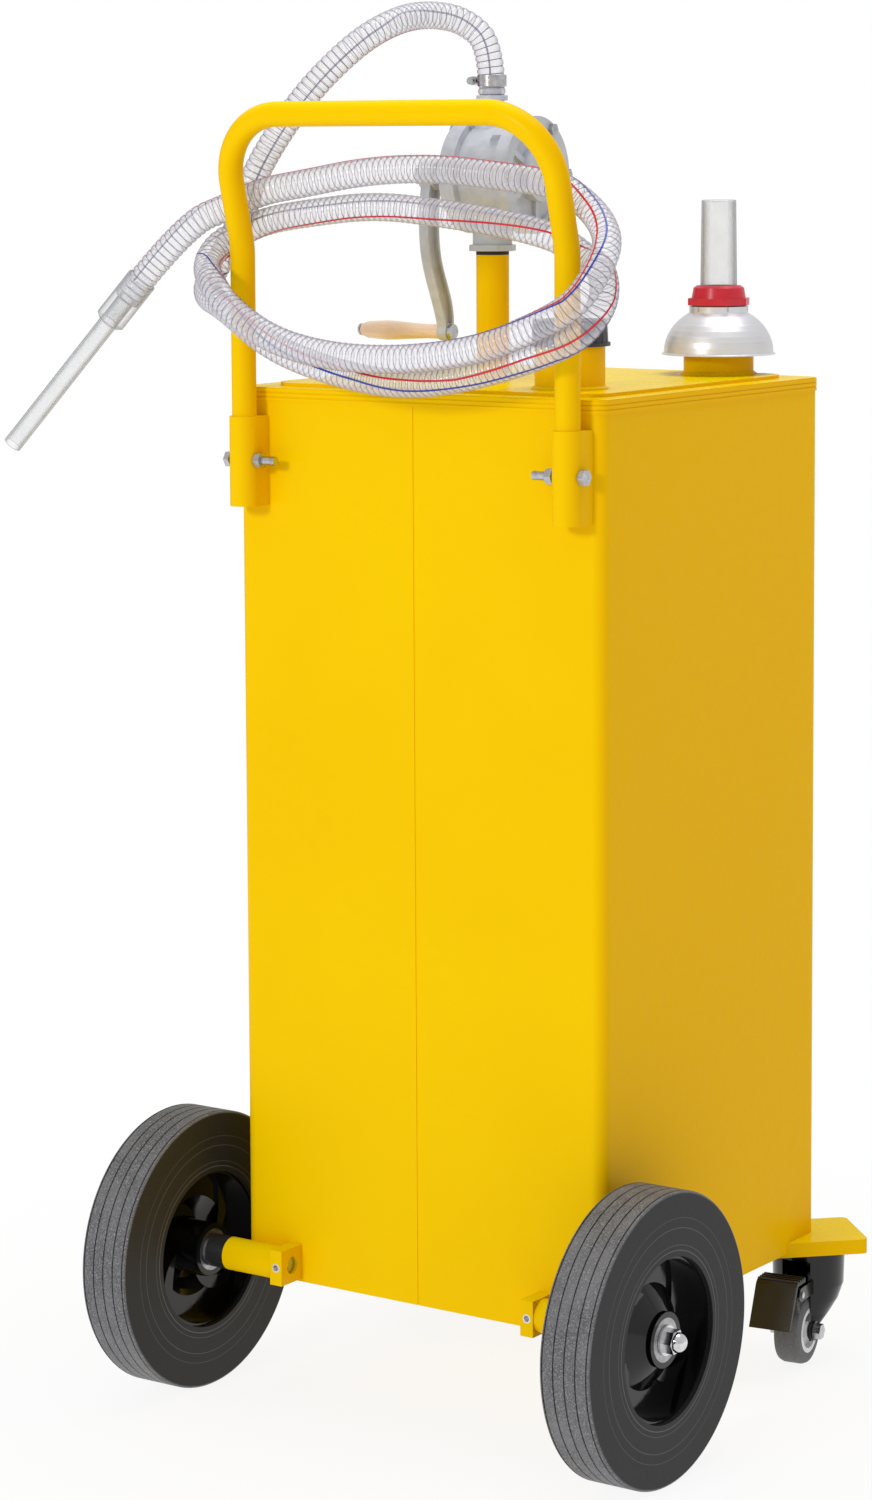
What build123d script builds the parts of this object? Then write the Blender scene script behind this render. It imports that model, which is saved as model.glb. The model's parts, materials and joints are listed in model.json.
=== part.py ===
from build123d import *
import math
import os

# Fuel caddy: a tall steel tank on two solid rear wheels and two braked casters,
# with a hand rotary pump, a float gauge, a push handle and a wound clear hose.
# Millimetres. +Z up, +Y forward (away from the push handle), +X right.
# The origin is on the ground under the middle of the caddy.

# Tank
tank_width = 386
tank_depth = 374
tank_wall_height = 800
tank_ground_clearance = 108
tank_corner_radius = 12
sheet = 1.5
seam_width = 2
seam_depth = 0.6
bottom_recess = 10
bottom_flange = 8
lid_rim_height = 12
lid_overhang = 1.3
lid_roll_groove = 0.8
lid_roll_groove_height = 1
lid_panel_inset = 20
lid_panel_rise = 3
lid_panel_radius = 28
seat_gap = 0.3
fit_gap = 0.05
weld_leg = 3
cut_overrun = 5
hexagon_sides = 6

# Rear wheels and their stub axles
tyre_radius = 127
tyre_width = 49
tyre_side_gap = 28
tyre_shoulder = 2
tyre_hole_radius = 71.5
tread_groove_width = 1.4
tread_groove_depth = 1.6
tread_groove_count = 5
tread_groove_pitch = 10.8
axle_radius = 8
axle_standoff = 15
holder_radius = 15
holder_run_inside = 51
holder_stick_out = 5
holder_block_width = 13
holder_block_height = 32
holder_block_reach = 16
spacer_length = 19.5
washer_thickness = 2
washer_radius = 13
hub_radius = 24
hub_length = 46
bearing_radius = 19
bearing_width = 12
rim_sheet = 2.5
rim_barrel_width = 40
rim_web_inner_radius = 46
rim_cone_depth = 13
swirl_count = 4
swirl_rise = 3
swirl_start_radius = 27
swirl_end_radius = 67
swirl_width = 17
swirl_sweep_deg = 62
swirl_inner_share = 0.3
axle_nut_flats = 19
axle_nut_height = 9
axle_nut_dome_radius = 9
set_screw_radius = 4
set_screw_length = 13
set_screw_socket = 2.5
axle_inner_overlap = 10

# Caster outriggers and casters
bracket_reach = 40
bracket_back = 52
bracket_width = 76.5
bracket_sheet = 3
bracket_lip = 13.6
bracket_corner_radius = 6
caster_inset = 7
caster_plate_length = 88
caster_plate_width = 68
caster_plate_thickness = 3
caster_bolt_radius = 4
caster_bolt_head_flats = 13
caster_bolt_head_height = 5.5
caster_bolt_edge = 10
caster_yaw_deg = 8
caster_radius = 31.75
caster_width = 25
caster_trail = 28
caster_hub_radius = 21
caster_hub_ring_share = 0.8
caster_hub_recess_share = 0.6
caster_tread_round = 5
race_radius = 32
race_height = 6.5
crown_radius = 34
crown_thickness = 5
running_gap = 0.4
kingpin_radius = 6
kingpin_head_radius = 10
kingpin_head_height = 3
fork_side_gap = 1.5
fork_sheet = 2.5
fork_eye_radius = 9
fork_boss = 4.5
fork_slot_front = 6
fork_ear_back = 42
caster_axle_radius = 4
caster_nut_flats = 13
caster_nut_height = 6.5
pedal_pivot_y = -58
pedal_pivot_z = 74
pedal_pin_radius = 3
pedal_eye_radius = 6.5
pedal_width = 24
pedal_pad_width = 40
pedal_sheet = 3
pedal_pad_rise = 16
pedal_pad_length = 20
pedal_face_drop = 40
pedal_face_out = 20
pedal_rib_count = 4
pedal_rib_share = 0.25
pedal_rib_height = 1.6
pedal_shoe_gap = 0.5
pedal_shoe_lean_deg = 13

# Plan outline of the fork at rising levels: share of its height, then its half
# width and half length as shares of the crown's radius, then of the trail.
fork_level_shares = (
    (0, 0.515, 0.26, 1), (0.16, 0.545, 0.47, 0.75), (0.29, 0.68, 0.735, 0.3),
    (0.44, 0.85, 0.91, 0.1), (0.62, 0.97, 0.985, 0), (1, 1, 1, 0),
)

# Push handle and its sockets
handle_radius = 11
handle_wall = 1.8
handle_leg_x = 171
handle_standoff = 18
handle_foot_above_socket = 7
handle_bend_share = 0.564
handle_top_height = 1161
handle_lean_deg = 14.5
handle_corner_radius = 62
handle_corner_share = 0.7
handle_bend_radius = 60
socket_radius = 13.5
socket_length = 80
socket_drop = 13
handle_bolt_radius = 4
handle_bolt_head_flats = 13
handle_bolt_head_height = 5.5
handle_nut_height = 6.5
handle_bolt_tail = 21
handle_bolt_rise = 41

# Fill neck and its screw cap
fill_x = 110
fill_inset = 80
neck_radius = 30.7
neck_wall = 2.7
fill_neck_height = 53
cap_skirt_height = 22.5
cap_wall = 2.2
cap_flange = 1.9
cap_flange_height = 3
cap_draft = 1
cap_top = 4
cap_flute_count = 24
cap_flute_radius = 1.5
gasket_thickness = 2
cap_gap = 0.4

# Gauge: neck, hood, nut, clear tube, float lever
gauge_x = 114
gauge_inset = 49
gauge_neck_radius = 32.1
gauge_neck_height = 29
hood_radius = 50.2
hood_lift = 18.2
hood_height = 37.8
hood_sheet = 1.6
hood_lip = 1.8
hood_steps = 8
collar_radius = 27
collar_height = 6
collar_notch_count = 6
collar_notch_turn_deg = 18
collar_notch_width = 2
collar_notch_depth = 1.5
hood_insert_radius = 28
hood_insert_depth = 16
hood_stem_bore = 9
hood_hub_bore = 16
nut_flange_radius = 26.8
nut_flange_height = 6.4
nut_sides = 8
nut_cone_radius = 24.8
nut_cone_top_radius = 23.2
nut_cone_height = 11.6
sight_radius = 16.8
sight_wall = 1.6
sight_length = 96
sight_taper = 1
stem_radius = 7
stem_bore = 4.3
stem_drop = 345
stem_plate = 4
stem_plate_width = 14
lever_pitch = 36
lever_fall = 80
lever_arm = 280
lever_rod_radius = 3
lever_eye_radius = 6
lever_pin_radius = 2.5
lever_pin_edge_share = 1.5
lever_half_swing_deg = 44
float_radius = 24
float_length = 60
rod_radius = 3
rod_end_gap = 4
disc_radius = 13.6
disc_thickness = 6

# Hand rotary pump on its standpipe
pump_x = -46
pump_forward = 5
pump_axis_height = 1106
standpipe_radius = 15
standpipe_wall = 2.6
standpipe_height = 110.7
standpipe_gasket = 3.5
union_flats = 40
union_thickness = 5.5
pump_neck_radius = 18
pump_neck_bore = 12.4
pump_drum_radius = 46
pump_bore_radius = 36
pump_bore_drop = 4
drum_left = 14
drum_right = 42
cover_radius = 53
gusset_count = 8
gusset_length = 16
gusset_width = 4
cover_left_thickness = 9
cover_right_thickness = 7
cover_boss_radius = 24
cover_boss_height = 6
cover_rib_count = 6
cover_rib_width = 5
cover_rib_height = 4
cover_rim_width = 6
cover_screw_radius = 3
cover_screw_head = 10
cover_screw_head_height = 4
cover_screw_length = 12
gland_radius = 15
gland_flats = 24
gland_length = 11
gland_collar = 5
rotor_radius = 31
rotor_side_gap = 0.5
vane_thickness = 5
vane_length = 26
shaft_radius = 7
outlet_neck_radius = 11.3
outlet_flange_radius = 14.3
outlet_flange_thickness = 5
outlet_flange_height = 67
barb_length = 16
suction_radius = 10
suction_wall = 1.6
suction_foot_gap = 18
strainer_radius = 14
strainer_height = 34
strainer_slot_count = 10
strainer_slot_width = 3
strainer_slot_share = 0.6
strainer_floor = 3

# Crank
crank_offset = 66
crank_drop = 145
crank_forward = 20
crank_bulge = 9
crank_bulge_shares = (0.7, 0.2)
crank_drop_shares = (0.3, 0.55, 0.82)
crank_forward_share = 0.72
crank_width = 18
crank_neck_width = 11
crank_thickness = 10
crank_web_recess = 3.2
crank_flange = 3
crank_hub_radius = 14
crank_hub_thickness = 16
crank_eye_radius = 8
shaft_nut_flats = 17
shaft_nut_height = 7
grip_pin_radius = 4
grip_head_share = 1.8
grip_end_share = 1.4
grip_length = 88
grip_radii = (6.8, 6.5, 7.4, 8.6, 9.1, 8.7, 8.0, 5.8)
grip_station_shares = (0, 0.15, 0.35, 0.55, 0.68, 0.74, 0.92, 1)
grip_gap = 1
grip_bore_gap = 0.08

# Hose: outside diameter, bore, fine ribs, and its route in real places
hose_radius = 12
hose_bore = 9
hose_rib_count = 196
hose_rib_height = 0.45
hose_rib_share = 0.3
hose_bend_share = 0.45
hose_near_share = 6
hose_first_run = 44
clamp_height = 10
clamp_rise = 13
clamp_band = 0.8
clamp_worm_radius = 4
clamp_worm_length = 14
clamp_screw_head_radius = 3.4
clamp_screw_head_length = 4
cuff_radius = 14
cuff_length = 50
cuff_overlap = 22
cuff_rib_count = 3
cuff_rib_depth = 2.5
nozzle_radius = 8.5
nozzle_root_radius = 8.2
nozzle_root_beyond = 1
nozzle_wall = 1.5
nozzle_length = 178

riser_route = (
    (-66, 35, 1246), (-84, 2, 1251), (-83, -49, 1244), (-103, -83, 1223), (-144, -109, 1175),
)
wound_route = (
    (-184, -128, 1108), (-206, -116, 1067), (-221, -132, 1029), (-215, -162, 1002), (-167, -193, 994),
    (-122, -188, 959), (-51, -192, 939), (22, -191, 929), (94, -193, 939), (161, -193, 958),
    (203, -194, 975), (216, -180, 997), (214, -169, 1015), (197, -149, 1031), (177, -133, 1035),
    (147, -130, 1054), (95, -131, 1066), (27, -132, 1075), (-47, -133, 1082), (-120, -135, 1074),
    (-162, -133, 1068), (-187, -136, 1059), (-203, -155, 1047), (-200, -177, 1028), (-169, -208, 1014),
    (-146, -215, 993), (-98, -213, 965), (-31, -213, 953), (45, -211, 953), (119, -211, 964),
    (177, -210, 986), (210, -208, 1004), (221, -192, 1030), (219, -172, 1051), (201, -152, 1068),
    (178, -143, 1085), (149, -140, 1101), (96, -142, 1107), (28, -141, 1114), (-47, -140, 1112),
    (-119, -142, 1100), (-161, -141, 1094), (-191, -150, 1081), (-228, -170, 1064),
)
tail_end = (-284, -184, 998)

# Places worked out from the sizes above
half_width = tank_width / 2
bracket_half_width = bracket_width / 2
corner_share = math.sqrt(0.5)
bracket_front = (bracket_reach + bracket_half_width) * corner_share
bracket_front -= bracket_corner_radius * (math.sqrt(2) - 1)
wheelbase_length = tyre_radius + axle_standoff + tank_depth + bracket_front
face_y = tyre_radius + axle_standoff - wheelbase_length / 2
front_y = face_y + tank_depth
middle_y = face_y + tank_depth / 2
wall_bottom = tank_ground_clearance
wall_top = wall_bottom + tank_wall_height
floor_z = wall_bottom + bottom_recess
rim_top = wall_top + lid_rim_height
lid_top = rim_top + lid_panel_rise
axle_y = face_y - axle_standoff
axle_z = tyre_radius
tyre_inner_face = half_width + tyre_side_gap
tyre_middle_x = tyre_inner_face + tyre_width / 2
holder_inner_end = half_width - holder_run_inside
holder_outer_end = half_width + holder_stick_out
spacer_end = holder_outer_end + seat_gap + spacer_length
hub_start = spacer_end + washer_thickness + seat_gap
hub_end = hub_start + hub_length
nut_start = hub_end + seat_gap + washer_thickness
leg_y = face_y - handle_standoff
socket_top = wall_top - socket_drop
socket_bottom = socket_top - socket_length
handle_foot = socket_bottom + handle_foot_above_socket
handle_bolt_z = socket_bottom + handle_bolt_rise
handle_bend_height = socket_top + (handle_top_height - socket_top) * handle_bend_share
handle_lean_rise = handle_top_height - handle_bend_height
bar_shift = math.tan(math.radians(handle_lean_deg)) * handle_lean_rise
handle_corner = min(handle_corner_radius, math.hypot(bar_shift, handle_lean_rise) * handle_corner_share)
fill_y = face_y + fill_inset
gauge_y = front_y - gauge_inset
pump_y = middle_y + pump_forward
standpipe_top = lid_top + standpipe_height
union_bottom = standpipe_top + standpipe_gasket
pump_neck_bottom = union_bottom + union_thickness
hose_seat = pump_axis_height + outlet_flange_height + outlet_flange_thickness
hose_start = (pump_x, pump_y, hose_seat)
hose_second = (pump_x, pump_y, hose_seat + hose_first_run)
crank_x = pump_x - crank_offset
crank_eye_y = pump_y + crank_forward
crank_eye_z = pump_axis_height - crank_drop
caster_corner_x = half_width - caster_inset * corner_share
caster_corner_y = front_y - caster_inset * corner_share
caster_plate_top = floor_z - bracket_sheet
caster_plate_bottom = caster_plate_top - caster_plate_thickness
race_bottom = caster_plate_bottom - race_height
crown_top = race_bottom - running_gap
crown_bottom = crown_top - crown_thickness
fork_inner = caster_width / 2 + fork_side_gap
fork_outer = fork_inner + fork_sheet


def rod_x(radius, x0, x1, y, z):
    return Pos((x0 + x1) / 2, y, z) * Rot(0, 90, 0) * Cylinder(radius, abs(x1 - x0))


def rod_y(radius, x, y0, y1, z):
    return Pos(x, (y0 + y1) / 2, z) * Rot(90, 0, 0) * Cylinder(radius, abs(y1 - y0))


def rod_z(radius, x, y, z0, z1):
    return Pos(x, y, (z0 + z1) / 2) * Cylinder(radius, abs(z1 - z0))


def block(x0, x1, y0, y1, z0, z1):
    centre = Pos((x0 + x1) / 2, (y0 + y1) / 2, (z0 + z1) / 2)
    return centre * Box(abs(x1 - x0), abs(y1 - y0), abs(z1 - z0))


def hex_x(flats, x0, x1, y, z):
    plane = Plane(origin=(min(x0, x1), y, z), x_dir=(0, 1, 0), z_dir=(1, 0, 0))
    return extrude(plane * RegularPolygon(flats / 2, hexagon_sides, major_radius=False), abs(x1 - x0))


def hex_z(flats, x, y, z0, z1, sides=hexagon_sides):
    sketch = Pos(x, y, z0) * RegularPolygon(flats / 2, sides, major_radius=False)
    return extrude(sketch, z1 - z0)


def turned_z(points, x, y, z=0):
    """A solid of revolution about a vertical line from (radius, height) points."""
    outline = make_face(Plane.XZ * Polyline(*points, close=True))
    return Pos(x, y, z) * revolve(outline, Axis.Z)


def turned_x(points, x, y, z):
    """A solid of revolution about a line along X from (radius, x distance) points."""
    return Pos(x, y, z) * Rot(0, 90, 0) * turned_z(points, 0, 0)


def prism(width, depth, radius, z0, z1, y=middle_y):
    return extrude(Pos(0, y, z0) * RectangleRounded(width, depth, radius), z1 - z0)


def write(name, *solids):
    shape = solids[0] if len(solids) == 1 else Compound(children=list(solids))
    export_step(shape, "parts/" + name + ".step")


def outrigger(side, s0, s1, half, z0, z1):
    """A box square to the tank's corner diagonal, from s0 to s1 beyond the corner."""
    corner = Pos(side * half_width, front_y, 0) * Rot(0, 0, 90 - side * 45)
    return corner * block(s0, s1, -half, half, z0, z1)


def tank_shell():
    """A wrapped sheet wall, open above and below, notched over the outriggers."""
    inner_radius = tank_corner_radius - sheet
    shell = prism(tank_width, tank_depth, tank_corner_radius, wall_bottom, wall_top)
    shell -= prism(tank_width - 2 * sheet, tank_depth - 2 * sheet, inner_radius, wall_bottom, wall_top)
    shell -= block(-seam_width / 2, seam_width / 2, face_y, face_y + seam_depth, wall_bottom, wall_top)
    reach = bracket_reach + cut_overrun
    for side in (-1, 1):
        notch_half = bracket_half_width + seat_gap
        shell -= outrigger(side, -bracket_back, reach, notch_half, wall_bottom, floor_z)
    return shell


def tank_bottom():
    """The recessed floor pan with its flange turned down inside the wall."""
    width = tank_width - 2 * sheet
    depth = tank_depth - 2 * sheet
    radius = tank_corner_radius - sheet
    pan = prism(width, depth, radius, floor_z - bottom_flange, floor_z + sheet)
    pan -= prism(width - 2 * sheet, depth - 2 * sheet, radius - sheet, floor_z - bottom_flange, floor_z)
    for side in (-1, 1):
        notch_half = bracket_half_width + seat_gap
        pan -= outrigger(side, -bracket_back - seat_gap, bracket_reach, notch_half, wall_bottom, floor_z)
    return pan


def tank_lid():
    """The top with its rolled, grooved rim and its raised middle panel."""
    lid = Part()
    layers = 3
    layer = lid_rim_height / layers
    for index in range(layers):
        base = wall_top + index * layer
        over = 2 * lid_overhang
        width = tank_width + over
        radius = tank_corner_radius + lid_overhang
        lid += prism(width, tank_depth + over, radius, base, base + layer - lid_roll_groove_height)
        width -= 2 * lid_roll_groove
        depth = tank_depth + over - 2 * lid_roll_groove
        top = base + layer
        lid += prism(width, depth, radius - lid_roll_groove, top - lid_roll_groove_height, top)
    panel_width = tank_width - 2 * lid_panel_inset
    panel_depth = tank_depth - 2 * lid_panel_inset
    lid += prism(panel_width, panel_depth, lid_panel_radius, rim_top, lid_top)
    under = tank_corner_radius - sheet
    lid -= prism(tank_width - 2 * sheet, tank_depth - 2 * sheet, under, wall_top, rim_top - sheet)
    panel_width -= 2 * sheet
    panel_depth -= 2 * sheet
    lid -= prism(panel_width, panel_depth, lid_panel_radius - sheet, rim_top - sheet, lid_top - sheet)
    lid -= rod_z(neck_radius - neck_wall, fill_x, fill_y, rim_top - cut_overrun, lid_top)
    lid -= rod_z(hood_insert_radius + seat_gap, gauge_x, gauge_y, rim_top - cut_overrun, lid_top)
    lid -= rod_z(standpipe_radius - standpipe_wall, pump_x, pump_y, rim_top - cut_overrun, lid_top)
    return lid


def welded_neck(radius, wall, height, x, y):
    """A short pipe standing on the lid with a weld fillet round its foot."""
    inner = radius - wall
    points = (
        (inner, 0), (radius + weld_leg, 0), (radius + weld_leg, weld_leg / 3),
        (radius, weld_leg), (radius, height), (inner, height),
    )
    return turned_z(points, x, y, lid_top)


def handle_path():
    """The U frame: two upright feet, a lean back to the user, and a top bar."""
    bar_y = leg_y - bar_shift
    return FilletPolyline(
        (-handle_leg_x, leg_y, handle_foot), (-handle_leg_x, leg_y, handle_bend_height),
        (-handle_leg_x, bar_y, handle_top_height), (handle_leg_x, bar_y, handle_top_height),
        (handle_leg_x, leg_y, handle_bend_height), (handle_leg_x, leg_y, handle_foot),
        radius=[handle_bend_radius, handle_corner, handle_corner, handle_bend_radius],
    )


def handle_tube():
    path = handle_path()
    start = Plane(origin=path @ 0, z_dir=path % 0)
    ring = Circle(handle_radius) - Circle(handle_radius - handle_wall)
    tube = sweep(start * ring, path=path)
    for side in (-1, 1):
        reach = handle_radius + cut_overrun
        x0 = side * (handle_leg_x - reach)
        x1 = side * (handle_leg_x + reach)
        tube -= rod_x(handle_bolt_radius + fit_gap, x0, x1, leg_y, handle_bolt_z)
    return tube


def handle_socket(side):
    """A round-nosed saddle welded to the handle face, bored for the tube."""
    x = side * handle_leg_x
    socket = rod_z(socket_radius, x, leg_y, socket_bottom, socket_top)
    socket += block(x - socket_radius, x + socket_radius, leg_y, face_y, socket_bottom, socket_top)
    socket -= rod_z(handle_radius + fit_gap, x, leg_y, socket_bottom, socket_top)
    reach = socket_radius + cut_overrun
    socket -= rod_x(handle_bolt_radius + fit_gap, x - reach, x + reach, leg_y, handle_bolt_z)
    return socket


def handle_bolt(side):
    x_head = side * (handle_leg_x + socket_radius)
    x_tail = side * (handle_leg_x - socket_radius - handle_bolt_tail)
    bolt = rod_x(handle_bolt_radius, x_tail, x_head, leg_y, handle_bolt_z)
    x_end = x_head + side * handle_bolt_head_height
    return bolt + hex_x(handle_bolt_head_flats, x_head, x_end, leg_y, handle_bolt_z)


def handle_nut(side):
    x0 = side * (handle_leg_x - socket_radius)
    x1 = x0 - side * handle_nut_height
    nut = hex_x(handle_bolt_head_flats, x0, x1, leg_y, handle_bolt_z)
    return nut - rod_x(handle_bolt_radius, x0, x1, leg_y, handle_bolt_z)


def axle_holder(side):
    """A bored sleeve under the handle face with a block for its set screw."""
    x_in = side * holder_inner_end
    x_out = side * holder_outer_end
    x_block = side * (holder_inner_end - holder_block_width)
    half = holder_block_height / 2
    holder = rod_x(holder_radius, x_in, x_out, axle_y, axle_z)
    wall_end = side * (half_width - tank_corner_radius)
    holder += block(x_in, wall_end, axle_y, face_y, axle_z - holder_radius / 2, axle_z + holder_radius / 2)
    holder += block(x_block, x_in, axle_y - holder_block_reach, face_y, axle_z - half, axle_z + half)
    holder -= rod_x(axle_radius, x_block, x_out, axle_y, axle_z)
    screw_x = side * (holder_inner_end - holder_block_width / 2)
    holder -= rod_y(set_screw_radius, screw_x, axle_y - holder_block_reach, axle_y, axle_z)
    return holder


def axle_stub(side):
    x_in = side * (holder_inner_end - axle_inner_overlap)
    x_out = side * (nut_start + axle_nut_height)
    screw_x = side * (holder_inner_end - holder_block_width / 2)
    stub = rod_x(axle_radius, x_in, x_out, axle_y, axle_z)
    screw_end = axle_y - holder_block_reach + set_screw_length
    return stub - rod_y(set_screw_radius, screw_x, screw_end - cut_overrun * 2, screw_end, axle_z)


def set_screw(side):
    """A hollow-hex grub screw, flush with the block's outer face."""
    x = side * (holder_inner_end - holder_block_width / 2)
    y0 = axle_y - holder_block_reach
    screw = rod_y(set_screw_radius, x, y0, y0 + set_screw_length, axle_z)
    plane = Plane(origin=(x, y0, axle_z), x_dir=(1, 0, 0), z_dir=(0, 1, 0))
    socket = plane * RegularPolygon(set_screw_socket, hexagon_sides, major_radius=False)
    return screw - extrude(socket, set_screw_length / 2)


def axle_spacer(side):
    x0 = side * (holder_outer_end + seat_gap)
    x1 = side * spacer_end
    spacer = rod_x(holder_radius, x0, x1, axle_y, axle_z)
    return spacer - rod_x(axle_radius + fit_gap, x0, x1, axle_y, axle_z)


def axle_fastener(side):
    """A domed cap nut with its two washers, one each side of the hub."""
    solids = []
    for x_start in (spacer_end, hub_end + seat_gap):
        x0 = side * x_start
        x1 = side * (x_start + washer_thickness)
        washer = rod_x(washer_radius, x0, x1, axle_y, axle_z)
        solids.append(washer - rod_x(axle_radius + fit_gap, x0, x1, axle_y, axle_z))
    x0 = side * nut_start
    x1 = side * (nut_start + axle_nut_height)
    nut = hex_x(axle_nut_flats, x0, x1, axle_y, axle_z)
    nut += Pos(x1, axle_y, axle_z) * Sphere(axle_nut_dome_radius)
    nut -= rod_x(axle_radius, x0, x1, axle_y, axle_z)
    solids.append(nut)
    return solids


def tyre(side):
    """A solid tyre with round shoulders and fine grooves round its tread."""
    half = tyre_width / 2
    shoulder = tyre_shoulder * corner_share / 2
    points = [(tyre_hole_radius, -half), (tyre_radius - tyre_shoulder, -half)]
    points.append((tyre_radius - shoulder, -half + shoulder))
    points.append((tyre_radius, -half + tyre_shoulder))
    for index in range(tread_groove_count):
        centre = (index - (tread_groove_count - 1) / 2) * tread_groove_pitch
        for edge in (-0.5, 0.5):
            place = centre + edge * tread_groove_width
            low = (tyre_radius - tread_groove_depth, place)
            high = (tyre_radius, place)
            points.extend((high, low) if edge < 0 else (low, high))
    points.append((tyre_radius, half - tyre_shoulder))
    points.append((tyre_radius - shoulder, half - shoulder))
    points.extend([(tyre_radius - tyre_shoulder, half), (tyre_hole_radius, half)])
    return turned_x(points, side * tyre_middle_x, axle_y, axle_z)


def swirl(angle):
    """A crescent of raised sheet sweeping from the hub cone out to the barrel."""
    start = Vector(swirl_start_radius, 0)
    end = Vector(swirl_end_radius, 0).rotate(Axis.Z, swirl_sweep_deg)
    middle = (start + end) * 0.5
    along = (end - start).normalized()
    across = Vector(-along.Y, along.X)
    outer = ThreePointArc(start, middle - across * swirl_width, end)
    inner = ThreePointArc(end, middle - across * swirl_width * swirl_inner_share, start)
    return Rot(0, 0, angle) * make_face(outer + inner)


def rim(side):
    """A pressed steel wheel centre: barrel, dished web with swirls, hub tube."""
    barrel_half = rim_barrel_width / 2
    barrel = tyre_hole_radius - seat_gap / 2
    middle = side * tyre_middle_x
    hub_in = side * hub_start - middle
    hub_out = side * hub_end - middle
    web_x = 0
    cone_x = side * rim_cone_depth
    body = turned_x(
        ((barrel - rim_sheet, -barrel_half), (barrel, -barrel_half),
         (barrel, barrel_half), (barrel - rim_sheet, barrel_half)), middle, axle_y, axle_z)
    web = (
        (hub_radius - rim_sheet, cone_x), (hub_radius, cone_x), (rim_web_inner_radius, web_x),
        (barrel - rim_sheet, web_x), (barrel - rim_sheet, web_x + rim_sheet),
        (rim_web_inner_radius, web_x + rim_sheet), (hub_radius, cone_x + rim_sheet),
        (hub_radius - rim_sheet, cone_x + rim_sheet),
    )
    body += turned_x(web, middle, axle_y, axle_z)
    body += turned_x(
        ((bearing_radius, hub_in), (hub_radius, hub_in),
         (hub_radius, hub_out), (bearing_radius, hub_out)), middle, axle_y, axle_z)
    for index in range(swirl_count):
        plane = Plane(origin=(middle + web_x, axle_y, axle_z), x_dir=(0, 1, 0), z_dir=(1, 0, 0))
        crescent = plane * swirl(index * 360 / swirl_count)
        start = crescent.moved(Location((-swirl_rise, 0, 0)))
        body += extrude(start, rim_sheet + 2 * swirl_rise, dir=(1, 0, 0))
    return body


def wheel_bearings(side):
    solids = []
    for x_start in (hub_start, hub_end - bearing_width):
        x0 = side * x_start
        x1 = side * (x_start + bearing_width)
        race = rod_x(bearing_radius, x0, x1, axle_y, axle_z)
        solids.append(race - rod_x(axle_radius + fit_gap, x0, x1, axle_y, axle_z))
    return solids


def caster_bracket(side):
    """A folded channel under the tank corner, lips down, reaching out at 45 degrees."""
    half = bracket_half_width
    bottom = floor_z - bracket_lip
    bracket = outrigger(side, -bracket_back, bracket_reach, half, bottom, floor_z)
    far_point = (side * (half_width + tank_width), front_y + tank_width, floor_z)
    tips = bracket.edges().filter_by(Axis.Z).sort_by_distance(far_point)
    bracket = fillet(tips[:2], bracket_corner_radius)
    inner = half - bracket_sheet
    hollow = outrigger(side, -bracket_back, bracket_reach - bracket_sheet, inner, bottom, caster_plate_top)
    return bracket - hollow


def caster_spot(side):
    return Pos(side * caster_corner_x, caster_corner_y, 0)


def caster_bolt_places():
    reach = caster_plate_length / 2 - caster_bolt_edge
    half = caster_plate_width / 2 - caster_bolt_edge
    return [(a * reach, b * half) for a in (-1, 1) for b in (-1, 1)]


def caster_plate(side):
    """The bolted plate of a caster with the fixed race under it."""
    spot = caster_spot(side) * Rot(0, 0, 90 - side * 45)
    plate = spot * block(-caster_plate_length / 2, caster_plate_length / 2, -caster_plate_width / 2,
                         caster_plate_width / 2, caster_plate_bottom, caster_plate_top)
    plate += caster_spot(side) * rod_z(race_radius, 0, 0, race_bottom, caster_plate_bottom)
    plate -= caster_spot(side) * rod_z(kingpin_radius, 0, 0, race_bottom, caster_plate_top)
    for place in caster_bolt_places():
        plate -= spot * rod_z(caster_bolt_radius, *place, caster_plate_bottom, caster_plate_top)
    return plate


def caster_bolts(side):
    spot = caster_spot(side) * Rot(0, 0, 90 - side * 45)
    solids = []
    for place in caster_bolt_places():
        head = hex_z(caster_bolt_head_flats, *place, caster_plate_bottom - caster_bolt_head_height,
                     caster_plate_bottom)
        shank = rod_z(caster_bolt_radius, *place, caster_plate_bottom, caster_plate_top)
        solids.append(spot * (head + shank))
    return solids


def kingpin(side):
    """The pin that the caster fork swings on, headed under the crown."""
    head_top = crown_bottom - seat_gap
    pin = rod_z(kingpin_radius, 0, 0, head_top, caster_plate_top)
    pin += rod_z(kingpin_head_radius, 0, 0, head_top - kingpin_head_height, head_top)
    return caster_spot(side) * pin


def in_caster(side):
    return caster_spot(side) * Rot(0, 0, caster_yaw_deg)


def fork_skin(inset):
    """The fork's tapering body, as one solid drawn in all round by inset."""
    low = caster_radius - fork_eye_radius
    height = crown_bottom - low
    rings = []
    for level, wide, long, back in fork_level_shares:
        ring = Ellipse(wide * crown_radius - inset, long * crown_radius - inset)
        rings.append(Pos(0, -back * caster_trail, low + level * height) * ring)
    return loft(rings, ruled=True)


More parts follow.
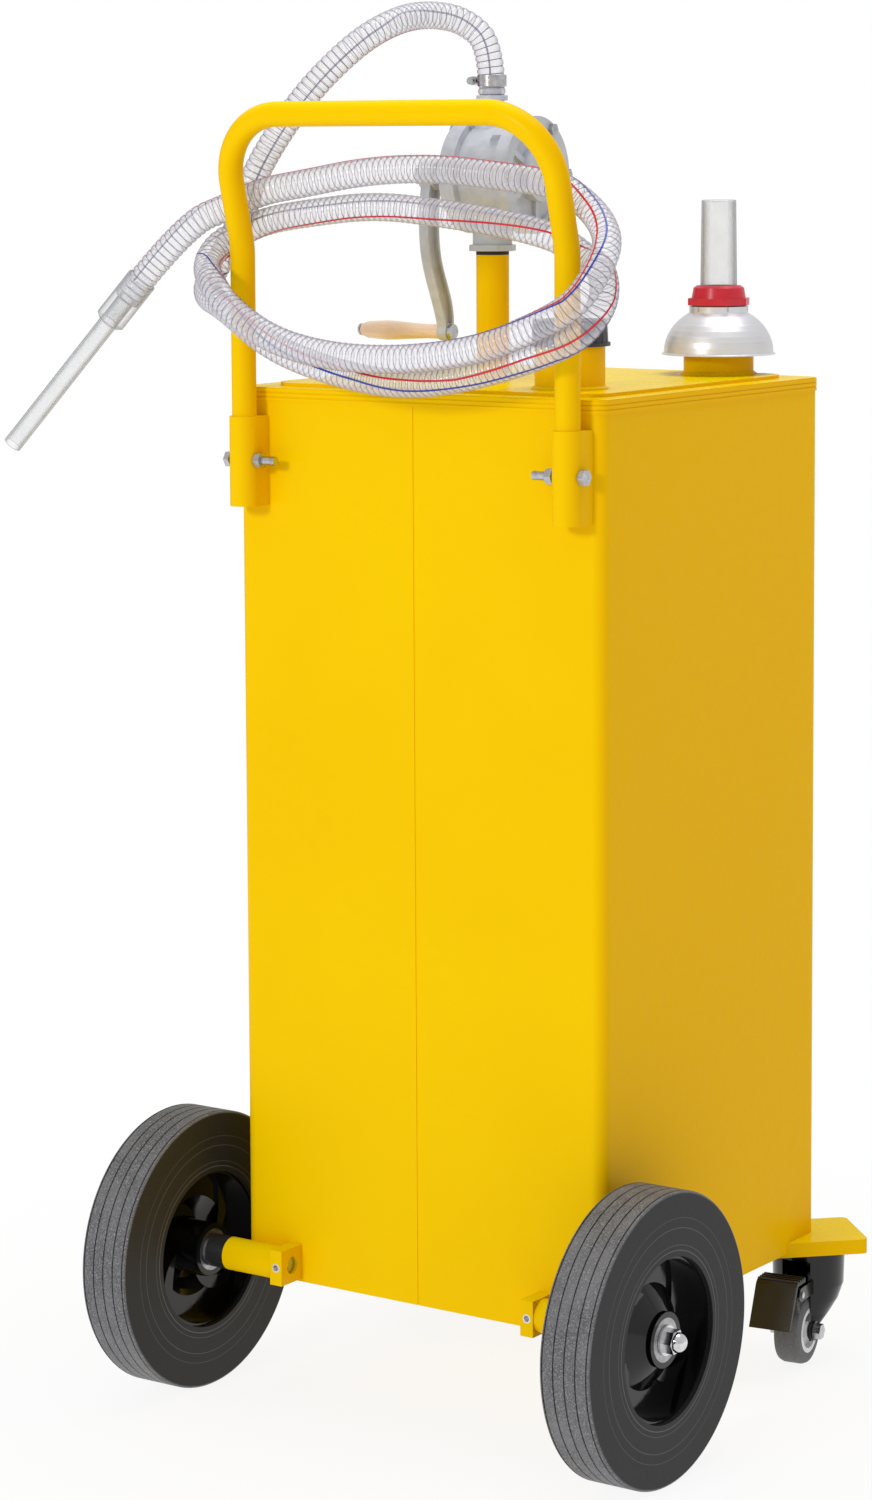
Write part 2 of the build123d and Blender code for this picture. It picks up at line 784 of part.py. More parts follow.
def caster_fork(side):
    """A pressed fork: round crown, tapering shell, two ears out to the pedal pin."""
    y, z = pedal_pivot_y, pedal_pivot_z
    ear = pedal_eye_radius
    fork = fork_skin(0) - fork_skin(fork_sheet)
    fork += rod_z(crown_radius, 0, 0, crown_bottom, crown_top)
    slot_top = crown_bottom - fork_sheet
    fork -= block(-fork_inner, fork_inner, y, fork_slot_front, 0, slot_top)
    for side_x in (-1, 1):
        near = side_x * fork_inner
        outer = side_x * fork_outer
        plate = rod_x(ear, near, outer, y, z)
        plate += block(near, outer, y, y + fork_ear_back, z - ear, z + ear)
        seat = side_x * (fork_inner + fork_boss)
        plate += rod_x(fork_eye_radius, near, seat, -caster_trail, caster_radius)
        fork += plate
        fork -= rod_x(fork_eye_radius, seat, side_x * crown_radius, -caster_trail, caster_radius)
    reach = crown_radius + cut_overrun
    fork -= rod_z(kingpin_radius + fit_gap, 0, 0, crown_bottom, crown_top)
    fork -= rod_x(caster_axle_radius, -reach, reach, -caster_trail, caster_radius)
    fork -= rod_x(pedal_pin_radius, -reach, reach, y, z)
    return in_caster(side) * fork


def caster_axle(side):
    """The wheel bolt with its nut, and the pedal's pivot pin."""
    y, z = -caster_trail, caster_radius
    seat = fork_inner + fork_boss
    end = seat + caster_nut_height
    bolt = rod_x(caster_axle_radius, -seat, end, y, z)
    bolt += hex_x(caster_nut_flats, -end, -seat, y, z)
    nut = hex_x(caster_nut_flats, seat, end, y, z)
    nut -= rod_x(caster_axle_radius, seat, end, y, z)
    pin = rod_x(pedal_pin_radius, -fork_outer - pedal_rib_height, fork_outer + pedal_rib_height,
                pedal_pivot_y, pedal_pivot_z)
    return [in_caster(side) * solid for solid in (bolt, nut, pin)]


def caster_tyre(side):
    half = caster_width / 2
    edge = caster_tread_round
    round_step = edge * (1 - corner_share)
    points = (
        (caster_hub_radius, -half), (caster_radius - edge, -half),
        (caster_radius - round_step, -half + round_step), (caster_radius, -half + edge),
        (caster_radius, half - edge), (caster_radius - round_step, half - round_step),
        (caster_radius - edge, half), (caster_hub_radius, half),
    )
    return in_caster(side) * turned_x(points, 0, -caster_trail, caster_radius)


def caster_hub(side):
    """The pale wheel centre, recessed between its rim ring and its bore boss."""
    half = caster_width / 2
    boss = caster_axle_radius * 2
    ring = caster_hub_radius * caster_hub_ring_share
    recess = half * caster_hub_recess_share
    bore = caster_axle_radius + fit_gap
    points = (
        (bore, -half), (boss, -half), (boss, -recess), (ring, -recess), (ring, -half),
        (caster_hub_radius, -half), (caster_hub_radius, half), (ring, half), (ring, recess),
        (boss, recess), (boss, half), (bore, half),
    )
    return in_caster(side) * turned_x(points, 0, -caster_trail, caster_radius)


def brake_pedal(side):
    """A ribbed foot pedal on the fork's pin, with a shoe that turns onto the tread."""
    y, z = pedal_pivot_y, pedal_pivot_z
    eye = pedal_eye_radius
    pedal = rod_x(eye, -pedal_width / 2, pedal_width / 2, y, z)
    pad_top = z + pedal_pad_rise
    pad_end = y - pedal_pad_length
    half = pedal_pad_width / 2
    pedal += block(-pedal_width / 2, pedal_width / 2, y - eye, y, z, pad_top - pedal_sheet)
    pedal += block(-half, half, pad_end, y, pad_top - pedal_sheet, pad_top)
    foot_y = pad_end - pedal_face_out
    foot_z = pad_top - pedal_face_drop
    face = (
        (pad_end, pad_top), (pad_end - pedal_sheet, pad_top - pedal_sheet), (foot_y, foot_z),
        (foot_y + pedal_sheet, foot_z), (pad_end + pedal_sheet / 2, pad_top - pedal_sheet),
    )
    outline = make_face(Plane.YZ * Polyline(*face, close=True))
    pedal += extrude(Pos(-half, 0, 0) * outline, pedal_pad_width, dir=(1, 0, 0))
    pitch = pedal_pad_length / pedal_rib_count
    for index in range(pedal_rib_count):
        rib_y = pad_end + pitch * (index + 0.5)
        rib_half = pitch * pedal_rib_share
        pedal += block(-half, half, rib_y - rib_half, rib_y + rib_half, pad_top, pad_top + pedal_rib_height)
    reach = math.hypot(y + caster_trail, z - caster_radius) - caster_radius - pedal_shoe_gap
    shoe_reach = math.sqrt(reach**2 - pedal_sheet**2)
    shoe = block(-pedal_width / 2, pedal_width / 2, -pedal_sheet, pedal_sheet, -shoe_reach, 0)
    pedal += Pos(0, y, z) * Rot(pedal_shoe_lean_deg, 0, 0) * shoe
    pedal -= rod_x(pedal_pin_radius + fit_gap, -half, half, y, z)
    return in_caster(side) * pedal


def fill_cap():
    """A fluted screw cap with a flared foot, hollow over the neck."""
    inner = neck_radius + cap_gap
    outer = inner + cap_wall
    foot = lid_top + fill_neck_height + gasket_thickness + 2 * cap_gap + cap_top - cap_skirt_height
    top = foot + cap_skirt_height
    points = (
        (0, top), (outer - cap_draft, top), (outer, foot + cap_flange_height),
        (outer + cap_flange, foot + cap_flange_height), (outer + cap_flange, foot), (inner, foot),
        (inner, top - cap_top), (0, top - cap_top),
    )
    cap = turned_z(points, fill_x, fill_y)
    for index in range(cap_flute_count):
        turn = Pos(fill_x, fill_y, 0) * Rot(0, 0, index * 360 / cap_flute_count)
        flute_r = outer + cap_flute_radius / 2
        cap -= turn * rod_z(cap_flute_radius, flute_r, 0, foot + cap_flange_height, top)
    return cap


def fill_cap_gasket():
    bottom = lid_top + fill_neck_height + cap_gap
    gasket = rod_z(neck_radius, fill_x, fill_y, bottom, bottom + gasket_thickness)
    return gasket - rod_z(neck_radius - 3 * neck_wall, fill_x, fill_y, bottom, bottom + gasket_thickness)


def gauge_levels():
    rim = lid_top + hood_lift
    collar = rim + hood_height
    nut = collar + collar_height + gasket_thickness / 2
    return rim, collar, nut


def gauge_hood():
    """A domed rain hood on a plug that screws into the gauge neck."""
    rim_z, collar_z = gauge_levels()[:2]
    last_angle = math.acos(collar_radius / hood_radius)
    tall = (collar_z - rim_z - hood_lip) / math.sin(last_angle)
    outer = []
    inner = []
    for index in range(hood_steps + 1):
        angle = last_angle * index / hood_steps
        outer.append((hood_radius * math.cos(angle), rim_z + hood_lip + tall * math.sin(angle)))
    for radius, height in reversed(outer):
        inner.append((radius - hood_sheet, height - hood_sheet))
    dome_foot = (hood_radius - hood_sheet, rim_z)
    lip = ((hood_radius + hood_lip, rim_z), (hood_radius + hood_lip, rim_z + hood_sheet / 2))
    hub_r = hood_insert_radius - gasket_thickness * 3
    plug_top = lid_top + gauge_neck_height
    plug_bottom = plug_top - hood_insert_depth
    top = collar_z + collar_height
    shoulder = collar_z - hood_lip
    points = [(hood_stem_bore, shoulder), (hood_hub_bore, shoulder), (hood_hub_bore, plug_bottom)]
    points += [(hood_insert_radius, plug_bottom), (hood_insert_radius, plug_top)]
    points += [(hub_r, plug_top), (hub_r, collar_z - hood_sheet)]
    points += inner[1:] + [dome_foot, lip[0], lip[1]] + outer
    points += [(collar_radius, top), (hood_stem_bore, top)]
    hood = turned_z(points, gauge_x, gauge_y)
    for index in range(collar_notch_count):
        angle = collar_notch_turn_deg + index * 360 / collar_notch_count
        turn = Pos(gauge_x, gauge_y, 0) * Rot(0, 0, angle)
        notch_in = collar_radius - collar_notch_depth
        half = collar_notch_width / 2
        hood -= turn * block(notch_in, collar_radius + cut_overrun, -half, half, collar_z + hood_sheet, top)
    return hood


def gauge_nut():
    """The coloured nut that clamps the clear tube, with a flatted foot."""
    nut_z = gauge_levels()[2]
    nut = hex_z(2 * nut_flange_radius, gauge_x, gauge_y, nut_z, nut_z + nut_flange_height, nut_sides)
    base = nut_z + nut_flange_height
    bevel = nut_cone_top_radius - sight_radius
    bore = sight_radius + fit_gap
    cone = (
        (0, base), (nut_cone_radius, base), (nut_cone_top_radius, base + nut_cone_height - bevel / 3),
        (bore + bevel / 2, base + nut_cone_height), (0, base + nut_cone_height),
    )
    nut += turned_z(cone, gauge_x, gauge_y)
    return nut - rod_z(bore, gauge_x, gauge_y, nut_z, base + nut_cone_height)


def gauge_tube():
    """The clear sight tube with its closed, gently crowned top."""
    foot = gauge_levels()[2]
    top = foot + sight_length
    clamped = gauge_levels()[2] + nut_flange_height + nut_cone_height
    inner = sight_radius - sight_wall
    head = sight_radius - sight_taper
    chamfer = sight_wall / 2
    points = (
        (inner, foot), (sight_radius, foot), (sight_radius, clamped), (head, top - chamfer),
        (head - chamfer, top), (0, top), (0, top - sight_wall), (head - sight_wall, top - sight_wall),
        (inner, clamped),
    )
    return turned_z(points, gauge_x, gauge_y)


def lever_levels():
    stem_top = gauge_levels()[1] + collar_height
    stem_foot = stem_top - stem_drop
    return stem_top, stem_foot, stem_foot - lever_fall


def gauge_stem():
    """The stem tube inside the tank, with a drop bracket for the lever pin."""
    top, foot, pivot_z = lever_levels()
    pivot_y = gauge_y + lever_pitch
    stem = rod_z(hood_stem_bore - fit_gap, gauge_x, gauge_y, lid_top - cut_overrun, top)
    stem += rod_z(stem_radius, gauge_x, gauge_y, foot, top)
    half = stem_plate_width / 2
    reach = pivot_y + lever_pin_radius * lever_pin_edge_share
    stem += block(gauge_x - half, gauge_x + half, gauge_y, reach, foot, foot + stem_plate)
    for side in (-1, 1):
        x0 = gauge_x + side * half
        x1 = gauge_x + side * (half - stem_plate / 2)
        low = pivot_z - lever_eye_radius / 2
        stem += block(x0, x1, pivot_y - lever_eye_radius / 2, reach, low, foot + stem_plate)
    stem += rod_x(lever_pin_radius, gauge_x - half, gauge_x + half, pivot_y, pivot_z)
    return stem - rod_z(stem_bore, gauge_x, gauge_y, foot, top)


def gauge_lever():
    """The float lever at its empty position, with its hollow float."""
    pivot_z = lever_levels()[2]
    pivot_y = gauge_y + lever_pitch
    turn = Pos(gauge_x, pivot_y, pivot_z) * Rot(lever_half_swing_deg, 0, 0)
    inner = stem_plate_width / 2 - stem_plate / 2 - running_gap
    lever = rod_x(lever_eye_radius, -inner, inner, 0, 0)
    lever += rod_y(lever_rod_radius, 0, -lever_arm, 0, 0)
    lever -= rod_x(lever_pin_radius + fit_gap, -inner, inner, 0, 0)
    ball = rod_y(float_radius, 0, -lever_arm - float_length, -lever_arm, 0)
    ball -= rod_y(float_radius - sheet, 0, -lever_arm - float_length + sheet, -lever_arm - sheet, 0)
    return [turn * lever, turn * ball]


def indicator_rod():
    """The push rod from the lever up to its disc in the clear tube, at empty."""
    pivot_z = lever_levels()[2]
    swing = math.radians(lever_half_swing_deg)
    touch = pivot_z - math.tan(swing) * lever_pitch + lever_rod_radius / math.cos(swing)
    foot = touch + rod_end_gap
    disc_z = gauge_levels()[2] + gasket_thickness
    rod = rod_z(rod_radius, gauge_x, gauge_y, foot, disc_z)
    return rod + rod_z(disc_radius, gauge_x, gauge_y, disc_z, disc_z + disc_thickness)


def tank_gaskets():
    """The standpipe's flat seal and the ring under the gauge nut."""
    nut_z = gauge_levels()[2]
    ring_z = nut_z - gasket_thickness / 2
    ring = rod_z(collar_radius - 2 * collar_notch_depth, gauge_x, gauge_y, ring_z, nut_z)
    ring -= rod_z(hood_stem_bore + fit_gap, gauge_x, gauge_y, ring_z, nut_z)
    outer = standpipe_radius + fit_gap
    inner = standpipe_radius - standpipe_wall
    seal = rod_z(outer, pump_x, pump_y, standpipe_top, union_bottom)
    return [ring, seal - rod_z(inner, pump_x, pump_y, standpipe_top, union_bottom)]


def pump_union():
    """The flats-sided ring that joins the pump's neck to the standpipe."""
    ring = hex_z(union_flats, pump_x, pump_y, union_bottom, pump_neck_bottom, nut_sides)
    return ring - rod_z(pump_neck_bore, pump_x, pump_y, union_bottom, pump_neck_bottom)


def bolt_circle():
    radius = cover_radius - cover_rim_width / 2 - cover_screw_radius
    count = cover_rib_count
    places = []
    for index in range(count):
        angle = math.radians(360 * index / count)
        places.append((pump_y + radius * math.cos(angle), pump_axis_height + radius * math.sin(angle)))
    return places


def pump_body():
    """The cast drum: an off-centre chamber, an inlet neck below, an outlet boss above."""
    x0 = pump_x - drum_left
    x1 = pump_x + drum_right
    body = rod_x(pump_drum_radius, x0, x1, pump_y, pump_axis_height)
    flange = cover_screw_length / 2
    body += rod_x(cover_radius - fit_gap, x0, x0 + flange, pump_y, pump_axis_height)
    body += rod_x(cover_radius - fit_gap, x1 - flange, x1, pump_y, pump_axis_height)
    for index in range(gusset_count):
        turn = Pos(0, pump_y, pump_axis_height) * Rot(index * 360 / gusset_count, 0, 0)
        half = gusset_width / 2
        foot = pump_bore_radius + 2 * sheet
        gusset = block(x1 - flange - gusset_length, x1 - flange, -half, half, foot, cover_radius)
        tip = gusset.edges().filter_by(Axis.Y).sort_by(Axis.Z)[-2:].sort_by(Axis.X)[:1]
        body += turn * chamfer(tip, cover_radius - pump_drum_radius)
    body += rod_z(pump_neck_radius, pump_x, pump_y, pump_neck_bottom, pump_axis_height)
    top = pump_axis_height + pump_drum_radius + outlet_flange_thickness
    body += rod_z(outlet_flange_radius + cover_rib_width, pump_x, pump_y, pump_axis_height, top)
    x_cover = x0 - cover_left_thickness - cover_boss_height
    body -= rod_x(cover_radius + fit_gap, x_cover, x0, pump_y, pump_axis_height)
    chamber_z = pump_axis_height - pump_bore_drop
    body -= rod_x(pump_bore_radius, x0, x1, pump_y, chamber_z)
    body -= rod_z(pump_neck_bore, pump_x, pump_y, pump_neck_bottom, pump_axis_height)
    seat = pump_axis_height + outlet_flange_height
    body -= rod_z(outlet_neck_radius, pump_x, pump_y, pump_axis_height, seat)
    for y, z in bolt_circle():
        body -= rod_x(cover_screw_radius, x0, x0 + flange, y, z)
        body -= rod_x(cover_screw_radius, x1 - flange, x1, y, z)
    return body


def pump_cover(x_joint, outward, thickness, bore):
    """A round end cover with a rim, spokes and a middle boss."""
    x_out = x_joint + outward * thickness
    sunk = x_out - outward * cover_rib_height
    cover = rod_x(cover_radius, x_joint, x_out, pump_y, pump_axis_height)
    ring = rod_x(cover_radius - cover_rim_width * 2, sunk, x_out, pump_y, pump_axis_height)
    ring -= rod_x(cover_boss_radius, sunk, x_out, pump_y, pump_axis_height)
    for index in range(cover_rib_count):
        spoke = block(sunk, x_out, -cover_rib_width / 2, cover_rib_width / 2, 0, cover_radius)
        turn = Pos(0, pump_y, pump_axis_height) * Rot(index * 360 / cover_rib_count, 0, 0)
        ring -= turn * spoke
    cover -= ring
    cover += rod_x(cover_boss_radius, x_joint, x_out + outward * cover_boss_height, pump_y, pump_axis_height)
    x_far = x_out + outward * cover_boss_height
    if bore:
        cover -= rod_x(bore, x_joint, x_far, pump_y, pump_axis_height)
    else:
        cover -= rod_x(shaft_radius + fit_gap, x_joint, x_out, pump_y, pump_axis_height)
    for y, z in bolt_circle():
        cover -= rod_x(cover_screw_radius, x_joint, x_out, y, z)
    return cover


def cover_screws():
    """Hex cover screws, six to each side of the pump."""
    solids = []
    ends = (
        (pump_x - drum_left, -1, cover_left_thickness), (pump_x + drum_right, 1, cover_right_thickness),
    )
    for x_joint, outward, thickness in ends:
        x_out = x_joint + outward * thickness
        x_head = x_out + outward * cover_screw_head_height
        x_tip = x_joint - outward * cover_screw_length / 2
        for y, z in bolt_circle():
            screw = rod_x(cover_screw_radius, x_tip, x_out, y, z)
            solids.append(screw + hex_x(cover_screw_head, x_out, x_head, y, z))
    return solids


def gland_nut():
    """The packing nut that seals the shaft on the crank side."""
    x0 = pump_x - drum_left - cover_left_thickness - cover_boss_height
    x1 = x0 - gland_length
    nut = hex_x(gland_flats, x0, x1, pump_y, pump_axis_height)
    nut += rod_x(gland_radius, x0, x0 - gland_collar, pump_y, pump_axis_height)
    return nut - rod_x(shaft_radius + fit_gap, x0, x1, pump_y, pump_axis_height)


def pump_rotor():
    """The slotted rotor on the shaft, with its two vanes drawn in."""
    x0 = pump_x - drum_left + rotor_side_gap
    x1 = pump_x + drum_right - rotor_side_gap
    turn = Pos(0, pump_y, pump_axis_height)
    rotor = turn * rod_x(rotor_radius, x0, x1, 0, 0)
    rotor -= turn * rod_x(shaft_radius, x0, x1, 0, 0)
    solids = []
    half = vane_thickness / 2
    for side in (-1, 1):
        tip = side * rotor_radius
        root = side * (rotor_radius - vane_length * corner_share)
        vane = block(x0, x1, -half, half, root, tip)
        solids.append(turn * vane)
        slot = half + fit_gap
        rotor -= turn * block(x0, x1, -slot, slot, root - side * fit_gap, tip + side * sheet)
    return [rotor] + solids


def crank_shaft():
    x_right = pump_x + drum_right + cover_right_thickness - rotor_side_gap
    x_left = crank_x - crank_hub_thickness / 2 - shaft_nut_height
    return rod_x(shaft_radius, x_left, x_right, pump_y, pump_axis_height)


def crank_curve(offset):
    """One edge of the arm's slow S, in (y, z), shifted sideways by offset."""
    top = (offset, 0)
    high, half_way, low = [-crank_drop * share for share in crank_drop_shares]
    upper = (offset - crank_bulge * crank_bulge_shares[0], high)
    middle = (offset - crank_bulge * crank_bulge_shares[1], half_way)
    lower = (offset + crank_forward * crank_forward_share, low)
    end = (offset + crank_forward, -crank_drop)
    return top, upper, middle, lower, end


def crank_strip(half_top, half_end, x_middle, thickness):
    left = crank_curve(-half_top)
    right = crank_curve(half_top)
    left = left[:-1] + ((crank_forward - half_end, -crank_drop),)
    right = right[:-1] + ((crank_forward + half_end, -crank_drop),)
    edge_a = Spline(*left)
    edge_b = Spline(*reversed(right))
    face = make_face([edge_a, Line(left[-1], right[-1]), edge_b, Line(right[0], left[0])])
    origin = (x_middle - thickness / 2, pump_y, pump_axis_height)
    plane = Plane(origin=origin, x_dir=(0, 1, 0), z_dir=(1, 0, 0))
    return extrude(plane * face, thickness)


def crank_arm():
    """A cast S-shaped arm of I section between a hub and an eye."""
    half_top = crank_width / 2
    half_end = crank_neck_width / 2
    arm = crank_strip(half_top, half_end, crank_x, crank_thickness)
    for outward in (-1, 1):
        x_skin = crank_x + outward * (crank_thickness - crank_web_recess) / 2
        groove = crank_strip(half_top - crank_flange, half_end - crank_flange, x_skin, crank_web_recess)
        arm -= groove
    half = crank_hub_thickness / 2
    arm += rod_x(crank_hub_radius, crank_x - half, crank_x + half, pump_y, pump_axis_height)
    half = crank_thickness / 2
    arm += rod_x(crank_eye_radius, crank_x - half, crank_x + half, crank_eye_y, crank_eye_z)
    half = crank_hub_thickness / 2
    arm -= rod_x(shaft_radius, crank_x - half, crank_x + half, pump_y, pump_axis_height)
    arm -= rod_x(grip_pin_radius, crank_x - half, crank_x + half, crank_eye_y, crank_eye_z)
    return arm


def crank_fasteners():
    """The nut on the shaft's end and the headed pin that the grip turns on."""
    x_hub = crank_x - crank_hub_thickness / 2
    nut = hex_x(shaft_nut_flats, x_hub - shaft_nut_height, x_hub, pump_y, pump_axis_height)
    nut -= rod_x(shaft_radius, x_hub - shaft_nut_height, x_hub, pump_y, pump_axis_height)
    x_eye = crank_x - crank_thickness / 2
    x_tip = x_eye - 2 * grip_gap - grip_length
    pin = rod_x(grip_pin_radius, x_tip, crank_x + crank_thickness / 2, crank_eye_y, crank_eye_z)
    x_back = crank_x + crank_thickness / 2
    head_radius = grip_pin_radius * grip_head_share
    end_radius = grip_pin_radius * grip_end_share
    pin += rod_x(head_radius, x_back, x_back + grip_pin_radius, crank_eye_y, crank_eye_z)
    pin += rod_x(end_radius, x_tip - grip_pin_radius / 2, x_tip, crank_eye_y, crank_eye_z)
    return [nut, pin]


def crank_grip():
    """The turned wooden grip, bored right through for its pin."""
    x_start = crank_x - crank_thickness / 2 - grip_gap
    bore = grip_pin_radius + grip_bore_gap
    places = [share * grip_length for share in grip_station_shares]
    profile = [(max(radius, bore + sheet), place) for radius, place in zip(grip_radii, places)]
    outline = [(bore, 0)] + profile + [(bore, grip_length)]
    return Pos(x_start, crank_eye_y, crank_eye_z) * Rot(0, -90, 0) * turned_z(outline, 0, 0)


def suction_tube():
    """The dip tube down from the pump's neck, and the slotted strainer at its foot."""
    foot = floor_z + sheet + suction_foot_gap
    socket = foot + strainer_height * strainer_slot_share
    head = pump_neck_bottom + union_thickness
    tube = rod_z(suction_radius, pump_x, pump_y, socket, head)
    tube += rod_z(pump_neck_bore, pump_x, pump_y, pump_neck_bottom, head)
    tube -= rod_z(suction_radius - suction_wall, pump_x, pump_y, socket, head)
    strainer = rod_z(strainer_radius, pump_x, pump_y, foot - strainer_floor, foot + strainer_height)
    strainer -= rod_z(suction_radius, pump_x, pump_y, foot, foot + strainer_height)
    half = strainer_slot_width / 2
    slot_top = socket - strainer_floor
    for index in range(strainer_slot_count):
        turn = Pos(pump_x, pump_y, 0) * Rot(0, 0, index * 360 / strainer_slot_count)
        strainer -= turn * block(0, strainer_radius + cut_overrun, -half, half, foot, slot_top)
    return [tube, strainer]


def pump_outlet():
    """The hose tail: a threaded foot, a flange and a barbed spigot."""
    foot = pump_axis_height + pump_drum_radius
    seat = pump_axis_height + outlet_flange_height
    top = seat + outlet_flange_thickness
    spigot = hose_bore - fit_gap
    barb = barb_length / 2
    points = (
        (spigot - sheet * 2, foot), (outlet_neck_radius, foot), (outlet_neck_radius, seat),
        (outlet_flange_radius, seat), (outlet_flange_radius, top - seat_gap), (spigot, top - seat_gap),
        (spigot, top + barb), (spigot - sheet, top + barb), (spigot, top + barb_length - sheet * 2),
        (spigot - sheet, top + barb_length), (spigot - sheet * 2, top + barb_length),
    )
    return turned_z(points, pump_x, pump_y)


def hose_clamp():
    """A worm-drive band round the hose's end, with its screw."""
    x, y, z = hose_start
    low = z + clamp_rise - clamp_height / 2
    high = low + clamp_height
    inner = hose_radius + hose_rib_height + fit_gap
    outer = inner + clamp_band
    band = rod_z(outer, x, y, low, high)
    band -= rod_z(inner, x, y, low, high)
    middle = (low + high) / 2
    worm_x = x - outer - clamp_worm_radius + clamp_band / 2
    half = clamp_worm_length / 2
    worm = rod_y(clamp_worm_radius, worm_x, y - half, y + half, middle)
    head_y = y - half - clamp_screw_head_length
    worm += rod_y(clamp_screw_head_radius, worm_x, head_y, y - half, middle)
    return band + worm


def bend_radii(points):
    """The largest arc at each corner that leaves a share of its shorter run."""
    radii = []
    for before, here, after in zip(points, points[1:], points[2:]):
        back = Vector(*before) - Vector(*here)
        ahead = Vector(*after) - Vector(*here)
        turn = math.radians(180 - back.get_angle(ahead))
        radii.append(hose_bend_share * min(back.length, ahead.length) / math.tan(turn / 2))
    return radii


def between(first, second):
    return tuple((a + b) / 2 for a, b in zip(first, second))


def steady_planes(path, places):
    """Section planes along a path whose X axis never twists."""
    planes = []
    x_dir = Vector(1, -1, 0).normalized()
    for place in places:
        tangent = path % place
        x_dir = (x_dir - tangent * x_dir.dot(tangent)).normalized()
        planes.append(Plane(origin=path @ place, x_dir=x_dir, z_dir=tangent))
    return planes


def ribbed_hose(path, rib_count, plain_start, plain_end):
    """A bored hose whose outside is ruled from ring to ring over its fine ribs."""
    length = path.length
    start = plain_start / length
    end = 1 - plain_end / length
    pitch = (end - start) / rib_count
    rise = pitch * hose_rib_share / 2
    places = [0]
    radii = [hose_radius]
    for index in range(rib_count):
        middle = start + pitch * (index + 0.5)
        for shift, radius in ((-2, hose_radius), (-1, hose_radius + hose_rib_height),
                              (1, hose_radius + hose_rib_height), (2, hose_radius)):
            places.append(middle + shift * rise)
            radii.append(radius)
    places.append(1)
    radii.append(hose_radius)
    planes = steady_planes(path, places)
    rings = [plane * Circle(radius) for plane, radius in zip(planes, radii)]
    outside = loft(rings, ruled=True)
    bore = sweep(planes[0] * Circle(hose_bore), path=path)
    return outside - bore


def hose_stretches():
    """The riser, the two turns round the handle and the tail, face to face."""
    first_cut = between(riser_route[-1], wound_route[0])
    second_cut = between(wound_route[-1], tail_end)
    return (
        ("hose_riser", (hose_start, hose_second, *riser_route, first_cut)),
        ("hose_coil", (first_cut, *wound_route, second_cut)),
        ("hose_tail", (second_cut, tail_end)),
    )


def hose_path(points):
    if len(points) == 2:
        return Line(*points)
    return FilletPolyline(*points, radius=bend_radii(points))


def report_hose(name, points, path):
    print(name, "length", round(path.length, 1), "bend radii", [round(r) for r in bend_radii(points)])


def report_least_gap(paths):
    """Measure the hose's least gap to itself on points along its whole route."""
    step = hose_radius / 2
    centres = []
    travelled = 0
    for path in paths:
        count = int(path.length / step)
        for index in range(count):
            centres.append((travelled + path.length * index / count, path @ (index / count)))
        travelled += path.length
    reach = hose_near_share * hose_radius
    gaps = []
    for index, (place, centre) in enumerate(centres):
        for other_place, other in centres[index + 1:]:
            if other_place - place > reach:
                gaps.append((centre - other).length)
    print("hose length", round(travelled, 1), "least gap to itself", round(min(gaps) - 2 * hose_radius, 2))


def nozzle_place():
    """The tail's end and the direction that the nozzle carries on in."""
    last = Vector(*tail_end)
    along = (last - Vector(*wound_route[-1])).normalized()
    return last, along


def nozzle_cuff():
    """The moulded sleeve that grips the hose's end and holds the nozzle tube."""
    end, along = nozzle_place()
    start = end - along * cuff_overlap
    plane = Plane(origin=start, x_dir=(0, 1, 0), z_dir=along)
    hose_side = hose_radius + hose_rib_height + fit_gap
    tube_side = nozzle_root_radius
    points = (
        (hose_side, 0), (cuff_radius, 0), (cuff_radius, cuff_length - cuff_rib_depth),
        (cuff_radius - cuff_rib_depth, cuff_length), (tube_side, cuff_length),
        (tube_side, cuff_overlap + seat_gap), (hose_side, cuff_overlap + seat_gap),
    )
    cuff = turned_z(points, 0, 0)
    pitch = cuff_length / (cuff_rib_count + 1)
    for index in range(cuff_rib_count):
        low = pitch * (index + 0.5)
        cuff -= block(cuff_radius - sheet / 2, cuff_radius, -cuff_radius, cuff_radius, low, low + pitch / 2)
    return plane.location * cuff


def nozzle_tube():
    """The clear pouring tube, a little smaller where the sleeve holds it."""
    end, along = nozzle_place()
    plane = Plane(origin=end + along * seat_gap, x_dir=(0, 1, 0), z_dir=along)
    root = cuff_length - cuff_overlap - seat_gap + nozzle_root_beyond
    tube = rod_z(nozzle_root_radius, 0, 0, 0, root)
    tube += rod_z(nozzle_radius, 0, 0, root, nozzle_length)
    tube -= rod_z(nozzle_radius - nozzle_wall, 0, 0, 0, nozzle_length)
    return plane.location * tube


def write_tank():
    write("tank_shell", tank_shell())
    write("tank_bottom", tank_bottom())
    write("tank_lid", tank_lid())
    write("fill_neck", welded_neck(neck_radius, neck_wall, fill_neck_height, fill_x, fill_y))
    gauge_wall = gauge_neck_radius - hood_insert_radius - seat_gap
    write("gauge_neck", welded_neck(gauge_neck_radius, gauge_wall, gauge_neck_height, gauge_x, gauge_y))
    write("pump_standpipe", welded_neck(standpipe_radius, standpipe_wall, standpipe_height, pump_x, pump_y))
    write("tank_gaskets", *tank_gaskets())
    write("fill_cap", fill_cap())
    write("fill_cap_gasket", fill_cap_gasket())


def write_gauge():
    lever, ball = gauge_lever()
    write("gauge_hood", gauge_hood())
    write("gauge_nut", gauge_nut())
    write("gauge_tube", gauge_tube())
    write("gauge_stem", gauge_stem())
    write("float_arm", lever, ball)
    write("indicator_rod", indicator_rod())


def write_handle():
    sides = (-1, 1)
    write("handle_tube", handle_tube())
    write("handle_sockets", *[handle_socket(side) for side in sides])
    write("handle_fasteners", *[make(side) for side in sides for make in (handle_bolt, handle_nut)])


